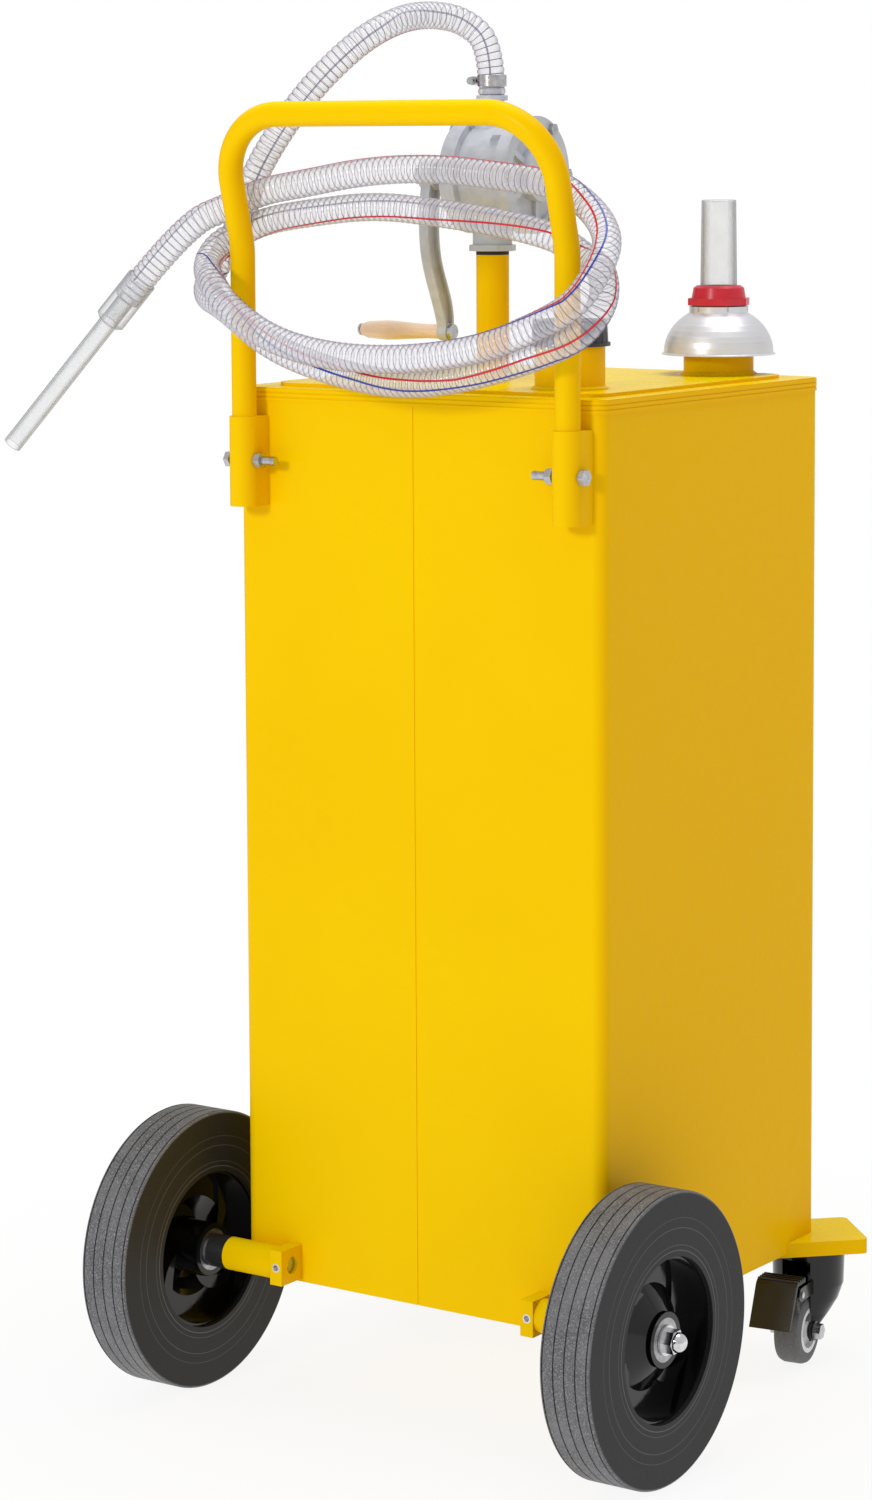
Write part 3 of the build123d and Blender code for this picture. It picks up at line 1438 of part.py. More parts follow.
def write_wheels():
    sides = (-1, 1)
    write("axle_holders", *[axle_holder(side) for side in sides])
    write("axle_stubs", *[axle_stub(side) for side in sides])
    write("axle_spacers", *[axle_spacer(side) for side in sides])
    fasteners = [solid for side in sides for solid in axle_fastener(side)]
    write("axle_fasteners", *fasteners, *[set_screw(side) for side in sides])
    for side, hand in ((-1, "left"), (1, "right")):
        write("tyre_" + hand, tyre(side))
        write("rim_" + hand, rim(side))
        write("wheel_bearings_" + hand, *wheel_bearings(side))


def write_casters():
    sides = (-1, 1)
    write("caster_brackets", *[caster_bracket(side) for side in sides])
    write("caster_plates", *[make(side) for side in sides for make in (caster_plate, kingpin)])
    write("caster_bolts", *[solid for side in sides for solid in caster_bolts(side)])
    for side, hand in ((-1, "left"), (1, "right")):
        write("caster_fork_" + hand, caster_fork(side))
        write("caster_axle_" + hand, *caster_axle(side))
        write("caster_tyre_" + hand, caster_tyre(side))
        write("caster_hub_" + hand, caster_hub(side))
        write("brake_pedal_" + hand, brake_pedal(side))


def write_pump():
    write("pump_union", pump_union())
    write("pump_body", pump_body())
    shaft_bore = shaft_radius + fit_gap
    write("pump_cover_left", pump_cover(pump_x - drum_left, -1, cover_left_thickness, shaft_bore))
    write("pump_cover_right", pump_cover(pump_x + drum_right, 1, cover_right_thickness, 0))
    write("pump_cover_screws", *cover_screws())
    write("pump_gland_nut", gland_nut())
    write("pump_rotor", *pump_rotor())
    write("crank_shaft", crank_shaft())
    write("crank_arm", crank_arm())
    write("crank_fasteners", *crank_fasteners())
    write("crank_grip", crank_grip())
    write("suction_tube", *suction_tube())
    write("pump_outlet", pump_outlet())
    write("hose_clamp", hose_clamp())


def write_hose():
    stretches = hose_stretches()
    paths = []
    for name, points in stretches:
        path = hose_path(points)
        paths.append(path)
        report_hose(name, points, path)
    total = sum(path.length for path in paths)
    plain = 2 * hose_radius
    for index, (name, points) in enumerate(stretches):
        path = paths[index]
        ribs = round(hose_rib_count * path.length / total)
        plain_start = plain if index == 0 else 0
        plain_end = plain if index == len(stretches) - 1 else 0
        hose = ribbed_hose(path, ribs, plain_start, plain_end)
        section = math.pi * (hose_radius**2 - hose_bore**2)
        print(name, "volume", round(hose.volume), "section x length", round(section * path.length))
        write(name, hose)
    report_least_gap(paths)
    write("nozzle_cuff", nozzle_cuff())
    write("nozzle_tube", nozzle_tube())


os.makedirs("parts", exist_ok=True)
write_tank()
write_gauge()
write_handle()
write_wheels()
write_casters()
write_pump()
write_hose()
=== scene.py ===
import bpy
import json
import math
from mathutils import Matrix, Vector


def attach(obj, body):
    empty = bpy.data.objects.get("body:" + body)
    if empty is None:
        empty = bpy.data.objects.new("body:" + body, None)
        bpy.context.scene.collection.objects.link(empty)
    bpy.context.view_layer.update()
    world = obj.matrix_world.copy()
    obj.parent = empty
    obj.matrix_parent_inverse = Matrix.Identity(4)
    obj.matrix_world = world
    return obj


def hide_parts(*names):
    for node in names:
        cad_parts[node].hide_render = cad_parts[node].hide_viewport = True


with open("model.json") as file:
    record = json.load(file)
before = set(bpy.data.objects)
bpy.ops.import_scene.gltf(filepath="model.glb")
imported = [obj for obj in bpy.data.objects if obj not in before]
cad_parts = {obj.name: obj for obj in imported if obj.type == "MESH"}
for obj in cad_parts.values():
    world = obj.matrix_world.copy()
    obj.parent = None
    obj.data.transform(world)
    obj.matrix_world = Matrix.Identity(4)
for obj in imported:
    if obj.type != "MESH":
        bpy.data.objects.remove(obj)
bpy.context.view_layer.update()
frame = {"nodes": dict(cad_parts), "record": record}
nodes = frame["nodes"]

# The points of the hose's route, in metres, from the pump's outlet to the nozzle's cuff.
HOSE_ROUTE = (
    (-0.046, 0.04958, 1.178), (-0.046, 0.04958, 1.222), (-0.066, 0.035, 1.246),
    (-0.084, 0.002, 1.251), (-0.083, -0.049, 1.244), (-0.103, -0.083, 1.223),
    (-0.144, -0.109, 1.175), (-0.184, -0.128, 1.108), (-0.206, -0.116, 1.067),
    (-0.221, -0.132, 1.029), (-0.215, -0.162, 1.002), (-0.167, -0.193, 0.994),
    (-0.122, -0.188, 0.959), (-0.051, -0.192, 0.939), (0.022, -0.191, 0.929),
    (0.094, -0.193, 0.939), (0.161, -0.193, 0.958), (0.203, -0.194, 0.975),
    (0.216, -0.180, 0.997), (0.214, -0.169, 1.015), (0.197, -0.149, 1.031),
    (0.177, -0.133, 1.035), (0.147, -0.130, 1.054), (0.095, -0.131, 1.066),
    (0.027, -0.132, 1.075), (-0.047, -0.133, 1.082), (-0.120, -0.135, 1.074),
    (-0.162, -0.133, 1.068), (-0.187, -0.136, 1.059), (-0.203, -0.155, 1.047),
    (-0.200, -0.177, 1.028), (-0.169, -0.208, 1.014), (-0.146, -0.215, 0.993),
    (-0.098, -0.213, 0.965), (-0.031, -0.213, 0.953), (0.045, -0.211, 0.953),
    (0.119, -0.211, 0.964), (0.177, -0.210, 0.986), (0.210, -0.208, 1.004),
    (0.221, -0.192, 1.030), (0.219, -0.172, 1.051), (0.201, -0.152, 1.068),
    (0.178, -0.143, 1.085), (0.149, -0.140, 1.101), (0.096, -0.142, 1.107),
    (0.028, -0.141, 1.114), (-0.047, -0.140, 1.112), (-0.119, -0.142, 1.100),
    (-0.161, -0.141, 1.094), (-0.191, -0.150, 1.081), (-0.228, -0.170, 1.064),
    (-0.284, -0.184, 0.998),
)
HOSE_RADIUS = 0.0115
HOSE_RIB = 0.0009
HOSE_PITCH = 0.0062
HOSE_SIDES = 28
SPLINE_STEPS = 40

# One rib from its start to the next: share of the pitch, share of the rib's height, material.
RIB_PROFILE = ((0.0, 0.0, 1), (0.1, 0.0, 0), (0.3, 0.75, 0), (0.56, 1.0, 0), (0.82, 0.75, 0))

# The coloured threads: points between sections, half width in radians, height above the ribs.
THREAD_STEP = 4
THREAD_HALF = 0.07
THREAD_RISE = 0.0001
ROUTE_OFFSET = 0.5  # a spline of order 3 is nearest route point n at n - 0.5 of its spans

# Rear wheels: the tyre's radius, and its axle's place along Y and Z.
TYRE_RADIUS = 0.127
AXLE_Y = -0.15742
AXLE_Z = 0.127
TREAD_START = TYRE_RADIUS - 0.0026
TREAD_END = TYRE_RADIUS - 0.0012
# Pale lines painted on the tyre's side wall as the highlights of its moulded rings: radius,
# strength.
WALL_RING_HIGHLIGHTS = ((0.0765, 0.8), (0.081, 0.45), (0.0955, 0.5), (0.104, 0.35))
WALL_RING_HIGHLIGHT_HALF = 0.0005

# The studio: how bright the world is to surfaces, and how much of its white gloss sees.
WORLD_LIGHT = 0.7
GLOSS_SHARE = 0.3
FLOOR_HALF = 20
FLOOR_DROP = 0.0005
FADE_START = 0.15
FADE_END = 0.9
FADE_LOW = 0.86

# The camera fitted to the photograph: metres, degrees, millimetres, and the shift as a share.
CAMERA_PLACE = (1.9414, -2.89672, 1.1426)
CAMERA_HEADING = 34.855
CAMERA_DOWN = 6.091
CAMERA_ROLL = -0.307
CAMERA_LENS = 93.43
CAMERA_SHIFT = -0.1333
CAMERA_SENSOR = 36
CAMERA_END = 60

# The way each coloured thread faces, by the number of the route point it passes.
RED_KEYS = (
    (0, (-0.6, -0.6, 0)), (2, (-0.6, -0.3, -0.5)), (3, (0, 0, -1)), (4.5, (0.69, 0.31, -0.66)),
    (6.4, (0.79, 0.35, -0.51)), (8, (0.8, 0.3, 0)), (10, (0.5, -0.3, 0.8)), (12, (0.3, -0.6, 0.75)),
    (13.3, (0.08, -0.8, 0.59)), (14.4, (-0.02, -0.94, 0.33)), (15.2, (0.03, -0.99, -0.1)),
    (16.3, (0.02, -1, -0.05)), (17.2, (0.48, -0.87, -0.1)), (18, (0.86, -0.45, 0.1)),
    (18.8, (0.94, 0.03, 0.35)), (19.8, (0.69, 0.25, 0.68)), (21, (0.4, -0.4, 0.8)),
    (22.3, (0.13, -0.86, 0.5)), (23.2, (0.04, -0.98, 0.19)), (24.6, (0, -0.9, -0.43)),
    (25.4, (0.06, -0.76, -0.65)), (27, (0, -0.5, -0.85)), (29, (0.7, 0.3, -0.6)),
    (31, (0.8, 0.3, 0.5)), (33, (0.2, 0.7, 0.7)), (36.5, (-0.2, 0.2, 0.95)),
    (38.6, (-0.05, -0.84, 0.55)), (40.7, (-0.3, -0.82, 0.5)), (42.6, (0.19, -0.81, 0.55)),
    (43.4, (0.12, -0.6, 0.79)), (44.5, (0.08, -0.25, 0.96)), (47.7, (0, -0.3, 0.95)),
    (51, (0, -0.3, 0.95)),
)
BLUE_KEYS = (
    (0, (-0.6, 0.6, 0)), (3, (-0.3, 0.9, 0.2)), (8, (-0.3, 0.9, 0.2)), (10, (0.5, 0.4, 0.6)),
    (12.8, (0.02, -0.98, 0.22)), (13.7, (0, -1, -0.03)), (14.4, (0.03, -0.9, -0.44)),
    (15.5, (0.19, -0.71, -0.68)), (16.8, (0.47, -0.47, -0.75)), (17.4, (0.77, 0.1, -0.62)),
    (18, (0.9, 0.25, -0.38)), (20, (0.8, 0.6, 0.4)), (24, (0, 0.9, 0.4)), (28, (-0.6, 0.6, 0.3)),
    (31, (-0.4, 0.5, 0.7)), (34, (0, 0.3, 0.95)), (36.5, (-0.33, -0.25, 0.9)),
    (37.8, (-0.26, -0.72, 0.62)), (38.6, (0.17, -0.84, 0.48)), (40.1, (0.24, -0.58, 0.78)),
    (41.6, (0.39, -0.48, 0.78)), (42.7, (0.36, -0.25, 0.88)), (44, (0.1, 0.4, 0.9)),
    (51, (0, 0.5, 0.8)),
)


def srgb(red, green, blue):
    """A colour given as the eight-bit numbers a picture has."""
    linear = []
    for part in (red, green, blue):
        share = part / 255
        linear.append(share / 12.92 if share <= 0.04045 else ((share + 0.055) / 1.055) ** 2.4)
    return (*linear, 1.0)


class Look:
    """A Principled material and the few node patterns that the pieces here need."""

    def __init__(self, name, colour, roughness, metallic=0.0, **sockets):
        self.material = bpy.data.materials.new(name)
        self.material.use_nodes = True
        self.tree = self.material.node_tree
        self.surface = self.tree.nodes["Principled BSDF"]
        self.surface.inputs["Base Color"].default_value = colour
        self.surface.inputs["Roughness"].default_value = roughness
        self.surface.inputs["Metallic"].default_value = metallic
        for socket, value in sockets.items():
            self.surface.inputs[socket.replace("_", " ")].default_value = value
        self.place = self.tree.nodes.new("ShaderNodeTexCoord").outputs["Object"]
        self.normal = None

    def put(self, socket, value):
        if isinstance(value, bpy.types.NodeSocket):
            self.tree.links.new(value, socket)
        else:
            socket.default_value = value

    def maths(self, operation, first, second=0.0):
        node = self.tree.nodes.new("ShaderNodeMath")
        node.operation = operation
        for socket, value in zip(node.inputs, (first, second)):
            self.put(socket, value)
        return node.outputs[0]

    def shifted(self, location=(0, 0, 0), stretch=(1, 1, 1)):
        node = self.tree.nodes.new("ShaderNodeMapping")
        self.put(node.inputs["Vector"], self.place)
        node.inputs["Location"].default_value = location
        node.inputs["Scale"].default_value = stretch
        return node.outputs[0]

    def noise(self, scale, detail=3.0, roughness=0.55, place=None):
        node = self.tree.nodes.new("ShaderNodeTexNoise")
        self.put(node.inputs["Vector"], place or self.place)
        node.inputs["Scale"].default_value = scale
        node.inputs["Detail"].default_value = detail
        node.inputs["Roughness"].default_value = roughness
        return node.outputs[0]

    def ranged(self, value, low, high, out_low=0.0, out_high=1.0):
        node = self.tree.nodes.new("ShaderNodeMapRange")
        for socket, number in zip(node.inputs, (value, low, high, out_low, out_high)):
            self.put(socket, number)
        return node.outputs[0]

    def mixed(self, share, first, second):
        node = self.tree.nodes.new("ShaderNodeMix")
        node.data_type = "RGBA"
        self.put(node.inputs[0], share)
        self.put(node.inputs[6], first)
        self.put(node.inputs[7], second)
        return node.outputs[2]

    def split(self, vector):
        node = self.tree.nodes.new("ShaderNodeSeparateXYZ")
        self.put(node.inputs[0], vector)
        return node.outputs

    def colour(self, value):
        self.put(self.surface.inputs["Base Color"], value)

    def rough(self, value):
        self.put(self.surface.inputs["Roughness"], value)

    def bump(self, height, distance, strength=1.0):
        node = self.tree.nodes.new("ShaderNodeBump")
        node.inputs["Strength"].default_value = strength
        node.inputs["Distance"].default_value = distance
        self.put(node.inputs["Height"], height)
        if self.normal:
            self.put(node.inputs["Normal"], self.normal)
        self.normal = node.outputs[0]
        self.put(self.surface.inputs["Normal"], self.normal)


def powder_coat():
    """Yellow coat with painted light: a little paler on top and warmer on the right, where the
    light falls so.
    """
    look = Look("powder_coat", srgb(242, 196, 1), 0.28, Specular_IOR_Level=0.03)
    cloud = look.ranged(look.noise(3.5, 2.0), 0.35, 0.65)
    coat = look.mixed(cloud, srgb(244, 199, 1), srgb(241, 194, 1))
    # Painted light: the coat is mixed paler where its surface faces up and more orange where it
    # faces right (+X), as the lamps fall on it.
    facing = look.split(look.tree.nodes.new("ShaderNodeTexCoord").outputs["Normal"])
    coat = look.mixed(look.ranged(facing[2], 0.4, 0.95), coat, srgb(243, 210, 1))
    look.colour(look.mixed(look.ranged(facing[0], 0.2, 0.95), coat, srgb(239, 184, 1)))
    look.rough(look.ranged(look.noise(60, 4.0), 0.3, 0.7, 0.22, 0.32))
    look.bump(look.noise(420, 2.0), 0.00012, 0.35)
    look.bump(look.noise(9, 1.0), 0.0006, 0.1)
    return look.material


def rubber(name, dark, pale, speck_scale):
    """Matt rubber with fine specks and patches of dust."""
    look = Look(name, dark, 0.62, Specular_IOR_Level=0.4)
    specks = look.ranged(look.noise(speck_scale, 2.0, 0.7), 0.5, 0.74)
    dust = look.ranged(look.noise(26, 4.0, 0.6), 0.35, 0.75, 0.0, 0.4)
    look.colour(look.mixed(look.maths("MAXIMUM", specks, dust), dark, pale))
    look.rough(look.ranged(dust, 0.0, 0.4, 0.55, 0.75))
    look.bump(look.noise(speck_scale, 3.0, 0.6), 0.0004, 0.5)
    return look.material


def tyre():
    """Solid tyre: a paler worn tread, and a dark side wall with painted highlights on its fine
    moulded rings.
    """
    look = Look("tyre_rubber", srgb(40, 40, 41), 0.55, Specular_IOR_Level=0.32)
    across = look.split(look.shifted((0, -AXLE_Y, -AXLE_Z)))
    reach = look.maths("SQRT", look.maths("ADD", look.maths("MULTIPLY", across[1], across[1]),
                                          look.maths("MULTIPLY", across[2], across[2])))
    tread = look.ranged(reach, TREAD_START, TREAD_END)
    specks = look.ranged(look.noise(750, 2.0, 0.7), 0.46, 0.7)
    dust = look.ranged(look.noise(22, 4.0, 0.65), 0.35, 0.75, 0.0, 0.5)
    wall = look.mixed(look.maths("MULTIPLY", specks, 0.5), srgb(24, 24, 25), srgb(58, 58, 59))
    # Painted highlight: each moulded ring is drawn as a pale line on the dark side wall.
    for radius, share in WALL_RING_HIGHLIGHTS:
        off = look.maths("ABSOLUTE", look.maths("SUBTRACT", reach, radius))
        ring = look.ranged(off, 0.0, WALL_RING_HIGHLIGHT_HALF, share, 0.0)
        wall = look.mixed(ring, wall, srgb(120, 120, 121))
    crown = look.mixed(look.maths("MAXIMUM", specks, dust), srgb(76, 76, 78), srgb(150, 150, 152))
    look.colour(look.mixed(tread, wall, crown))
    look.rough(look.ranged(specks, 0.0, 1.0, 0.5, 0.7))
    look.bump(look.noise(750, 3.0, 0.6), 0.0004, 0.6)
    return look.material


def black_gloss():
    look = Look("black_gloss", srgb(10, 10, 11), 0.1, Specular_IOR_Level=0.42)
    look.rough(look.ranged(look.noise(90, 4.0), 0.35, 0.7, 0.07, 0.16))
    look.bump(look.noise(300, 2.0), 0.00015, 0.3)
    return look.material


def black_plastic(name="black_plastic", shade=34):
    look = Look(name, srgb(shade, shade, shade + 1), 0.42)
    look.rough(look.ranged(look.noise(400, 3.0), 0.35, 0.7, 0.34, 0.52))
    look.bump(look.noise(1200, 2.0), 0.0001, 0.5)
    return look.material


def cast_metal():
    """Rough cast aluminium, clouded and pitted."""
    look = Look("cast_metal", srgb(192, 195, 203), 0.5, 0.15)
    cloud = look.ranged(look.noise(70, 5.0, 0.65), 0.3, 0.7)
    look.colour(look.mixed(cloud, srgb(184, 187, 195), srgb(202, 205, 213)))
    look.rough(look.ranged(look.noise(260, 3.0), 0.3, 0.7, 0.44, 0.6))
    look.bump(look.noise(700, 4.0, 0.7), 0.00035, 0.55)
    return look.material


def turned_metal():
    """Satin spun aluminium, smooth, with the faintest level lines."""
    look = Look("turned_metal", srgb(222, 222, 225), 0.36, 0.6)
    lines = look.noise(1.0, 3.0, 0.6, look.shifted(stretch=(2, 2, 1900)))
    look.rough(look.ranged(lines, 0.3, 0.7, 0.32, 0.4))
    look.colour(look.mixed(look.ranged(lines, 0.3, 0.7), srgb(218, 218, 222), srgb(226, 226, 230)))
    look.bump(lines, 0.00003, 0.3)
    return look.material


def plated(name, low, high, roughness):
    """Plated or bare metal between two grey shades."""
    look = Look(name, srgb(high, high, high), roughness, 1.0)
    cloud = look.ranged(look.noise(160, 4.0), 0.3, 0.7)
    look.colour(look.mixed(cloud, srgb(low, low, low + 2), srgb(high, high, high + 2)))
    look.rough(look.ranged(look.noise(500, 3.0), 0.3, 0.7, roughness * 0.8, roughness * 1.3))
    look.bump(look.noise(900, 2.0), 0.00008, 0.4)
    return look.material


def red_plastic():
    look = Look("red_plastic", srgb(205, 26, 48), 0.3)
    cloud = look.ranged(look.noise(60, 2.0), 0.3, 0.7)
    look.colour(look.mixed(cloud, srgb(198, 22, 44), srgb(214, 32, 54)))
    look.rough(look.ranged(look.noise(300, 3.0), 0.3, 0.7, 0.26, 0.38))
    look.bump(look.noise(800, 2.0), 0.00008, 0.4)
    return look.material


def pale_plastic():
    look = Look("pale_plastic", srgb(225, 225, 226), 0.32)
    cloud = look.ranged(look.noise(80, 3.0), 0.3, 0.7)
    look.colour(look.mixed(cloud, srgb(214, 214, 216), srgb(234, 234, 235)))
    look.bump(look.noise(700, 2.0), 0.0001, 0.4)
    return look.material


def wood():
    """Pale turned wood: long grain along the grip, fine pores and faint growth bands."""
    look = Look("wood", srgb(226, 190, 146), 0.4, Coat_Weight=0.15, Coat_Roughness=0.25)
    grain = look.noise(1.0, 5.0, 0.6, look.shifted(stretch=(18, 420, 420)))
    bands = look.noise(1.0, 2.0, 0.5, look.shifted(stretch=(9, 90, 90)))
    pores = look.noise(1.0, 1.0, 0.5, look.shifted(stretch=(120, 2600, 2600)))
    base = look.mixed(look.ranged(bands, 0.3, 0.7), srgb(246, 219, 192), srgb(238, 206, 174))
    streaked = look.mixed(look.ranged(grain, 0.42, 0.72, 0.0, 0.4), base, srgb(206, 166, 128))
    look.colour(look.mixed(look.ranged(pores, 0.62, 0.75, 0.0, 0.35), streaked, srgb(176, 132, 96)))
    look.rough(look.ranged(grain, 0.3, 0.7, 0.34, 0.5))
    look.bump(grain, 0.0002, 0.5)
    return look.material


def clear(name, middle_with_painted_highlight, edge_with_painted_shade, least, most, roughness=0.1):
    """See-through plastic: open where it faces the eye, fuller at its edges, and coloured with a
    painted highlight where it faces the eye and darker painted shade at its edges.
    """
    look = Look(name, middle_with_painted_highlight, roughness, Specular_IOR_Level=0.6)
    weight = look.tree.nodes.new("ShaderNodeLayerWeight")
    weight.inputs["Blend"].default_value = 0.4
    facing = weight.outputs["Facing"]
    haze = look.ranged(look.noise(45, 3.0), 0.3, 0.7, -0.03, 0.03)
    opened = look.ranged(facing, 0.1, 0.9, least, most)
    look.put(look.surface.inputs["Alpha"], look.maths("ADD", opened, haze))
    # Painted light: the colour runs from the pale middle, a painted highlight, to the darker edges,
    # painted shade.
    look.colour(look.mixed(look.ranged(facing, 0.25, 0.85), middle_with_painted_highlight, edge_with_painted_shade))
    look.rough(look.ranged(look.noise(90, 2.0), 0.3, 0.7, roughness * 0.8, roughness * 1.4))
    return look.material


LOOKS = {
    "yellow": powder_coat(),
    "tyre": tyre(),
    "tread": rubber("tread_rubber", srgb(84, 84, 85), srgb(128, 128, 129), 900),
    "seal": rubber("seal_rubber", srgb(30, 30, 31), srgb(46, 46, 47), 900),
    "black_gloss": black_gloss(),
    "black_plastic": black_plastic(),
    "pedal_black": black_plastic("pedal_black", 14),
    "cast_aluminium": cast_metal(),
    "spun_aluminium": turned_metal(),
    "zinc": plated("zinc", 170, 205, 0.26),
    "steel": plated("steel", 140, 180, 0.3),
    "chrome": plated("chrome", 205, 228, 0.12),
    "red_plastic": red_plastic(),
    "pale_plastic": pale_plastic(),
    "wood": wood(),
    # Clear looks: the first colour holds a painted highlight for the middle, the second painted
    # shade for the edges.
    "clear": clear("clear_plastic", srgb(214, 216, 220), srgb(104, 105, 110), 0.12, 0.95, 0.12),
    "clear_hose": clear("clear_hose", srgb(234, 233, 241), srgb(138, 134, 152), 0.28, 0.96, 0.12),
}
# The hose's dark lines also carry a painted highlight in the middle and painted shade at the edges.
HOSE_RIBS = clear("hose_ribs", srgb(92, 88, 106), srgb(50, 47, 62), 0.85, 1.0, 0.3)
HOSE_RED = Look("hose_red", srgb(196, 8, 36), 0.4).material
HOSE_BLUE = Look("hose_blue", srgb(28, 48, 150), 0.4).material


def dress_cad():
    slots = {entry["node"]: entry["material_slot"] for entry in frame["record"]["subparts"]}
    for name, item in nodes.items():
        item.data.materials.clear()
        slot = "pedal_black" if name.startswith("brake_pedal") else slots[name]
        item.data.materials.append(LOOKS[slot])


def new_mesh(name, points, faces, material, smooth=True):
    mesh = bpy.data.meshes.new(name)
    mesh.from_pydata([tuple(point) for point in points], [], faces)
    mesh.validate()
    mesh.update()
    mesh.materials.append(material)
    for face in mesh.polygons:
        face.use_smooth = smooth
    item = bpy.data.objects.new(name, mesh)
    bpy.context.scene.collection.objects.link(item)
    return item


def spline_points(route):
    """Points read from the NURBS spline that has the route as its control points."""
    curve = bpy.data.curves.new("route", "CURVE")
    curve.dimensions = "3D"
    curve.resolution_u = SPLINE_STEPS
    spline = curve.splines.new("NURBS")
    spline.points.add(len(route) - 1)
    for point, place in zip(spline.points, route):
        point.co = (*place, 1.0)
    spline.order_u = 3
    spline.use_endpoint_u = True
    item = bpy.data.objects.new("route", curve)
    bpy.context.scene.collection.objects.link(item)
    bpy.context.view_layer.update()
    mesh = bpy.data.meshes.new_from_object(item)
    points = [vertex.co.copy() for vertex in mesh.vertices]
    bpy.data.objects.remove(item)
    bpy.data.meshes.remove(mesh)
    return points


class Line:
    """A smooth line that gives its place, direction and untwisted side at any length."""

    def __init__(self, points):
        self.points = points
        self.lengths = [0.0]
        for first, second in zip(points, points[1:]):
            self.lengths.append(self.lengths[-1] + (second - first).length)
        self.total = self.lengths[-1]
        self.sides = []
        side = Vector((1, 0, 0))
        for index in range(len(points)):
            along = self.along(index)
            side = (side - along * side.dot(along)).normalized()
            self.sides.append(side.copy())

    def along(self, index):
        before = self.points[max(index - 1, 0)]
        after = self.points[min(index + 1, len(self.points) - 1)]
        return (after - before).normalized()

    def frames(self, places):
        index = 0
        last = len(self.points) - 2
        for place in places:
            while index < last and self.lengths[index + 1] < place:
                index += 1
            run = self.lengths[index + 1] - self.lengths[index]
            share = (place - self.lengths[index]) / run if run else 0.0
            point = self.points[index].lerp(self.points[index + 1], share)
            along = self.along(index).lerp(self.along(index + 1), share).normalized()
            side = self.sides[index].lerp(self.sides[index + 1], share)
            side = (side - along * side.dot(along)).normalized()
            yield point, along, side


def tube_mesh(name, line, rings, sides, material):
    """A tube along a line from (length, radius, material number) rings."""
    points, faces, numbers = [], [], []
    sections = line.frames([ring[0] for ring in rings])
    for (point, along, side), (_, radius, _) in zip(sections, rings):
        other = along.cross(side)
        for step in range(sides):
            angle = 2 * math.pi * step / sides
            across = side * (radius * math.cos(angle))
            points.append(point + across + other * (radius * math.sin(angle)))
    for ring in range(len(rings) - 1):
        for step in range(sides):
            after = (step + 1) % sides
            low, high = ring * sides, (ring + 1) * sides
            faces.append((low + step, low + after, high + after, high + step))
            numbers.append(rings[ring][2])
    item = new_mesh(name, points, faces, material)
    item.data.polygons.foreach_set("material_index", numbers)
    return item


def hose():
    """The clear hose: a soft wall with raised ribs, and one red and one blue thread."""
    line = Line(spline_points(HOSE_ROUTE))
    count = int(line.total / HOSE_PITCH)
    pitch = line.total / count
    rings = []
    for index in range(count):
        start = index * pitch
        for share, rise, number in RIB_PROFILE:
            rings.append((start + share * pitch, HOSE_RADIUS + HOSE_RIB * rise, number))
    rings.append((line.total, HOSE_RADIUS, 0))
    body = tube_mesh("hose", line, rings, HOSE_SIDES, LOOKS["clear_hose"])
    body.data.materials.append(HOSE_RIBS)
    threads = [
        hose_thread("hose_thread_red", line, RED_KEYS, HOSE_RED),
        hose_thread("hose_thread_blue", line, BLUE_KEYS, HOSE_BLUE),
    ]
    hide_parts("hose_riser", "hose_coil", "hose_tail")
    for item in (body, *threads):
        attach(item, "caddy")


def thread_side(keys, index):
    """The way a thread faces at a route point, between the keyed ways."""
    for (low, first), (high, second) in zip(keys, keys[1:]):
        if index <= high:
            return Vector(first).lerp(Vector(second), max(0.0, (index - low) / (high - low)))
    return Vector(keys[-1][1])


def hose_thread(name, line, keys, material):
    """A coloured thread laid over the hose's ribs."""
    points, faces = [], []
    last = len(line.points) - 1
    for index in range(0, last + 1, THREAD_STEP):
        along = line.along(index)
        side = thread_side(keys, index / SPLINE_STEPS + ROUTE_OFFSET)
        side = (side - along * side.dot(along)).normalized()
        other = along.cross(side)
        for across in (-THREAD_HALF, 0, THREAD_HALF):
            way = side * math.cos(across) + other * math.sin(across)
            points.append(line.points[index] + way * (HOSE_RADIUS + HOSE_RIB + THREAD_RISE))
    for index in range(len(points) // 3 - 1):
        for first in (index * 3, index * 3 + 1):
            faces.append((first, first + 1, first + 4, first + 3))
    return new_mesh(name, points, faces, material)


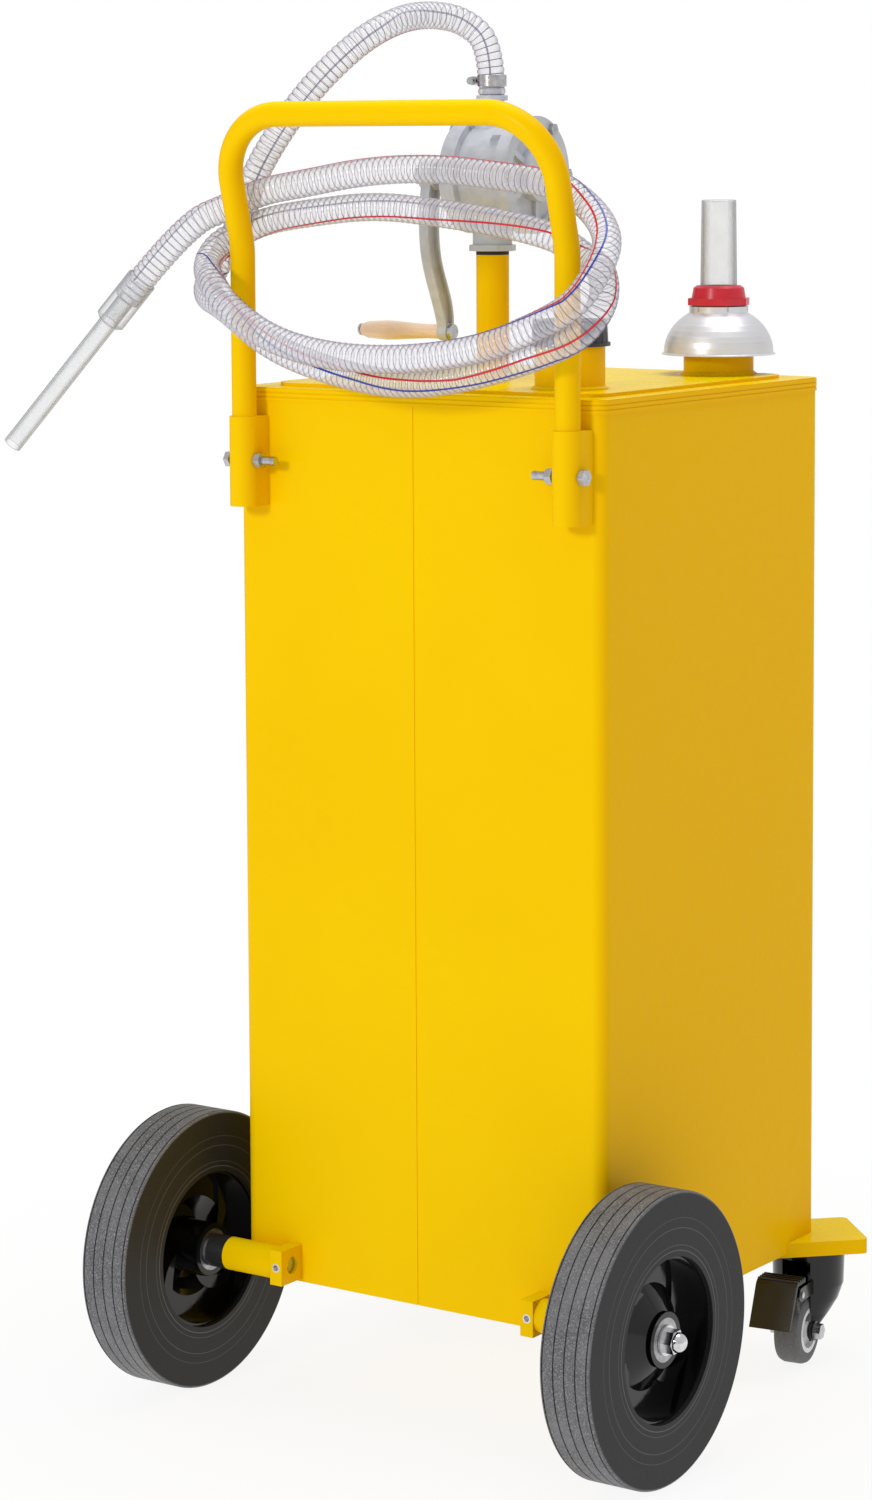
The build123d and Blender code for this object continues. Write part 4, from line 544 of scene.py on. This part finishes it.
def studio():
    """A pale floor that fades to white, soft lamps and the photograph's camera."""
    scene = bpy.context.scene
    scene.view_settings.view_transform = "Standard"
    world = bpy.data.worlds.new("studio")
    scene.world = world
    world.use_nodes = True
    tree = world.node_tree
    tree.nodes.clear()
    rays = tree.nodes.new("ShaderNodeLightPath")
    seen = tree.nodes.new("ShaderNodeMath")
    seen.operation = "MAXIMUM"
    also = tree.nodes.new("ShaderNodeMath")
    also.operation = "MAXIMUM"
    part = tree.nodes.new("ShaderNodeMath")
    part.operation = "MULTIPLY"
    part.inputs[1].default_value = GLOSS_SHARE
    tree.links.new(rays.outputs["Is Camera Ray"], seen.inputs[0])
    tree.links.new(rays.outputs["Is Transmission Ray"], seen.inputs[1])
    tree.links.new(rays.outputs["Is Glossy Ray"], part.inputs[0])
    tree.links.new(seen.outputs[0], also.inputs[0])
    tree.links.new(part.outputs[0], also.inputs[1])
    lit = tree.nodes.new("ShaderNodeBackground")
    lit.inputs["Strength"].default_value = WORLD_LIGHT
    shown = tree.nodes.new("ShaderNodeBackground")
    shown.inputs["Color"].default_value = (1, 1, 1, 1)
    shown.inputs["Strength"].default_value = 1.0
    mix = tree.nodes.new("ShaderNodeMixShader")
    out = tree.nodes.new("ShaderNodeOutputWorld")
    tree.links.new(also.outputs[0], mix.inputs[0])
    tree.links.new(lit.outputs[0], mix.inputs[1])
    tree.links.new(shown.outputs[0], mix.inputs[2])
    tree.links.new(mix.outputs[0], out.inputs["Surface"])
    floor()
    lamp("key", (-0.35, -4.5, 2.2), (0, 0, 0.6), 0.8, 70)
    lamp("top", (0.3, 0.4, 3.4), (0, 0, 0.8), 2.0, 38)
    flag("flag_right", (2.6, 2.4, 1.0), 50, (1.1, 3.0))
    flag("flag_left", (-3.2, 0.3, 1.0), 95, (1.4, 3.0))
    flag("flag_front", (0.5, -4.6, 0.6), 0, (1.0, 2.2))
    scene.camera = photo_camera()


def photo_camera():
    camera = bpy.data.objects.new("camera", bpy.data.cameras.new("camera"))
    bpy.context.scene.collection.objects.link(camera)
    heading = Matrix.Rotation(math.radians(CAMERA_HEADING), 4, "Z")
    down = Matrix.Rotation(math.radians(90 - CAMERA_DOWN), 4, "X")
    roll = Matrix.Rotation(math.radians(CAMERA_ROLL), 4, "Z")
    camera.matrix_world = Matrix.Translation(CAMERA_PLACE) @ heading @ down @ roll
    camera.data.sensor_width = CAMERA_SENSOR
    camera.data.lens = CAMERA_LENS
    camera.data.shift_y = CAMERA_SHIFT
    camera.data.clip_end = CAMERA_END
    return camera


def lamp(name, place, target, size, power):
    """A round area lamp of a power in watts, aimed at a point."""
    data = bpy.data.lights.new(name, "AREA")
    data.shape = "DISK"
    data.size = size
    data.energy = power
    item = bpy.data.objects.new(name, data)
    item.location = place
    aim = Vector(target) - Vector(place)
    item.rotation_euler = aim.to_track_quat("-Z", "Y").to_euler()
    bpy.context.scene.collection.objects.link(item)


def flag(name, place, turn, size):
    """A dark card that only reflections see, so that metal and gloss show their form."""
    half, height = size[0] / 2, size[1] / 2
    corners = [(-half, 0, -height), (half, 0, -height), (half, 0, height), (-half, 0, height)]
    shade = Look(name, srgb(40, 40, 42), 1.0, Specular_IOR_Level=0.0)
    item = new_mesh(name, corners, [(0, 1, 2, 3)], shade.material, False)
    item.location = place
    item.rotation_euler = (0, 0, math.radians(turn))
    for kind in ("camera", "diffuse", "transmission", "shadow", "volume_scatter"):
        setattr(item, "visible_" + kind, False)


def floor():
    """The ground, which keeps a soft shadow near the caddy and fades to white round it."""
    look = Look("floor", (0.88, 0.88, 0.88, 1), 0.9, Specular_IOR_Level=0.0)
    reach = look.tree.nodes.new("ShaderNodeVectorMath")
    reach.operation = "LENGTH"
    look.put(reach.inputs[0], look.place)
    fade = look.ranged(reach.outputs["Value"], FADE_START, FADE_END, FADE_LOW, 1.0)
    glow = look.tree.nodes.new("ShaderNodeEmission")
    mix = look.tree.nodes.new("ShaderNodeMixShader")
    look.put(mix.inputs[0], fade)
    look.put(mix.inputs[1], look.surface.outputs[0])
    look.put(mix.inputs[2], glow.outputs[0])
    look.put(look.tree.nodes["Material Output"].inputs["Surface"], mix.outputs[0])
    half = FLOOR_HALF
    corners = [(-half, -half, 0), (half, -half, 0), (half, half, 0), (-half, half, 0)]
    item = new_mesh("floor", corners, [(0, 1, 2, 3)], look.material, False)
    item.location.z = -FLOOR_DROP


studio()
dress_cad()
hose()

bpy.context.view_layer.update()
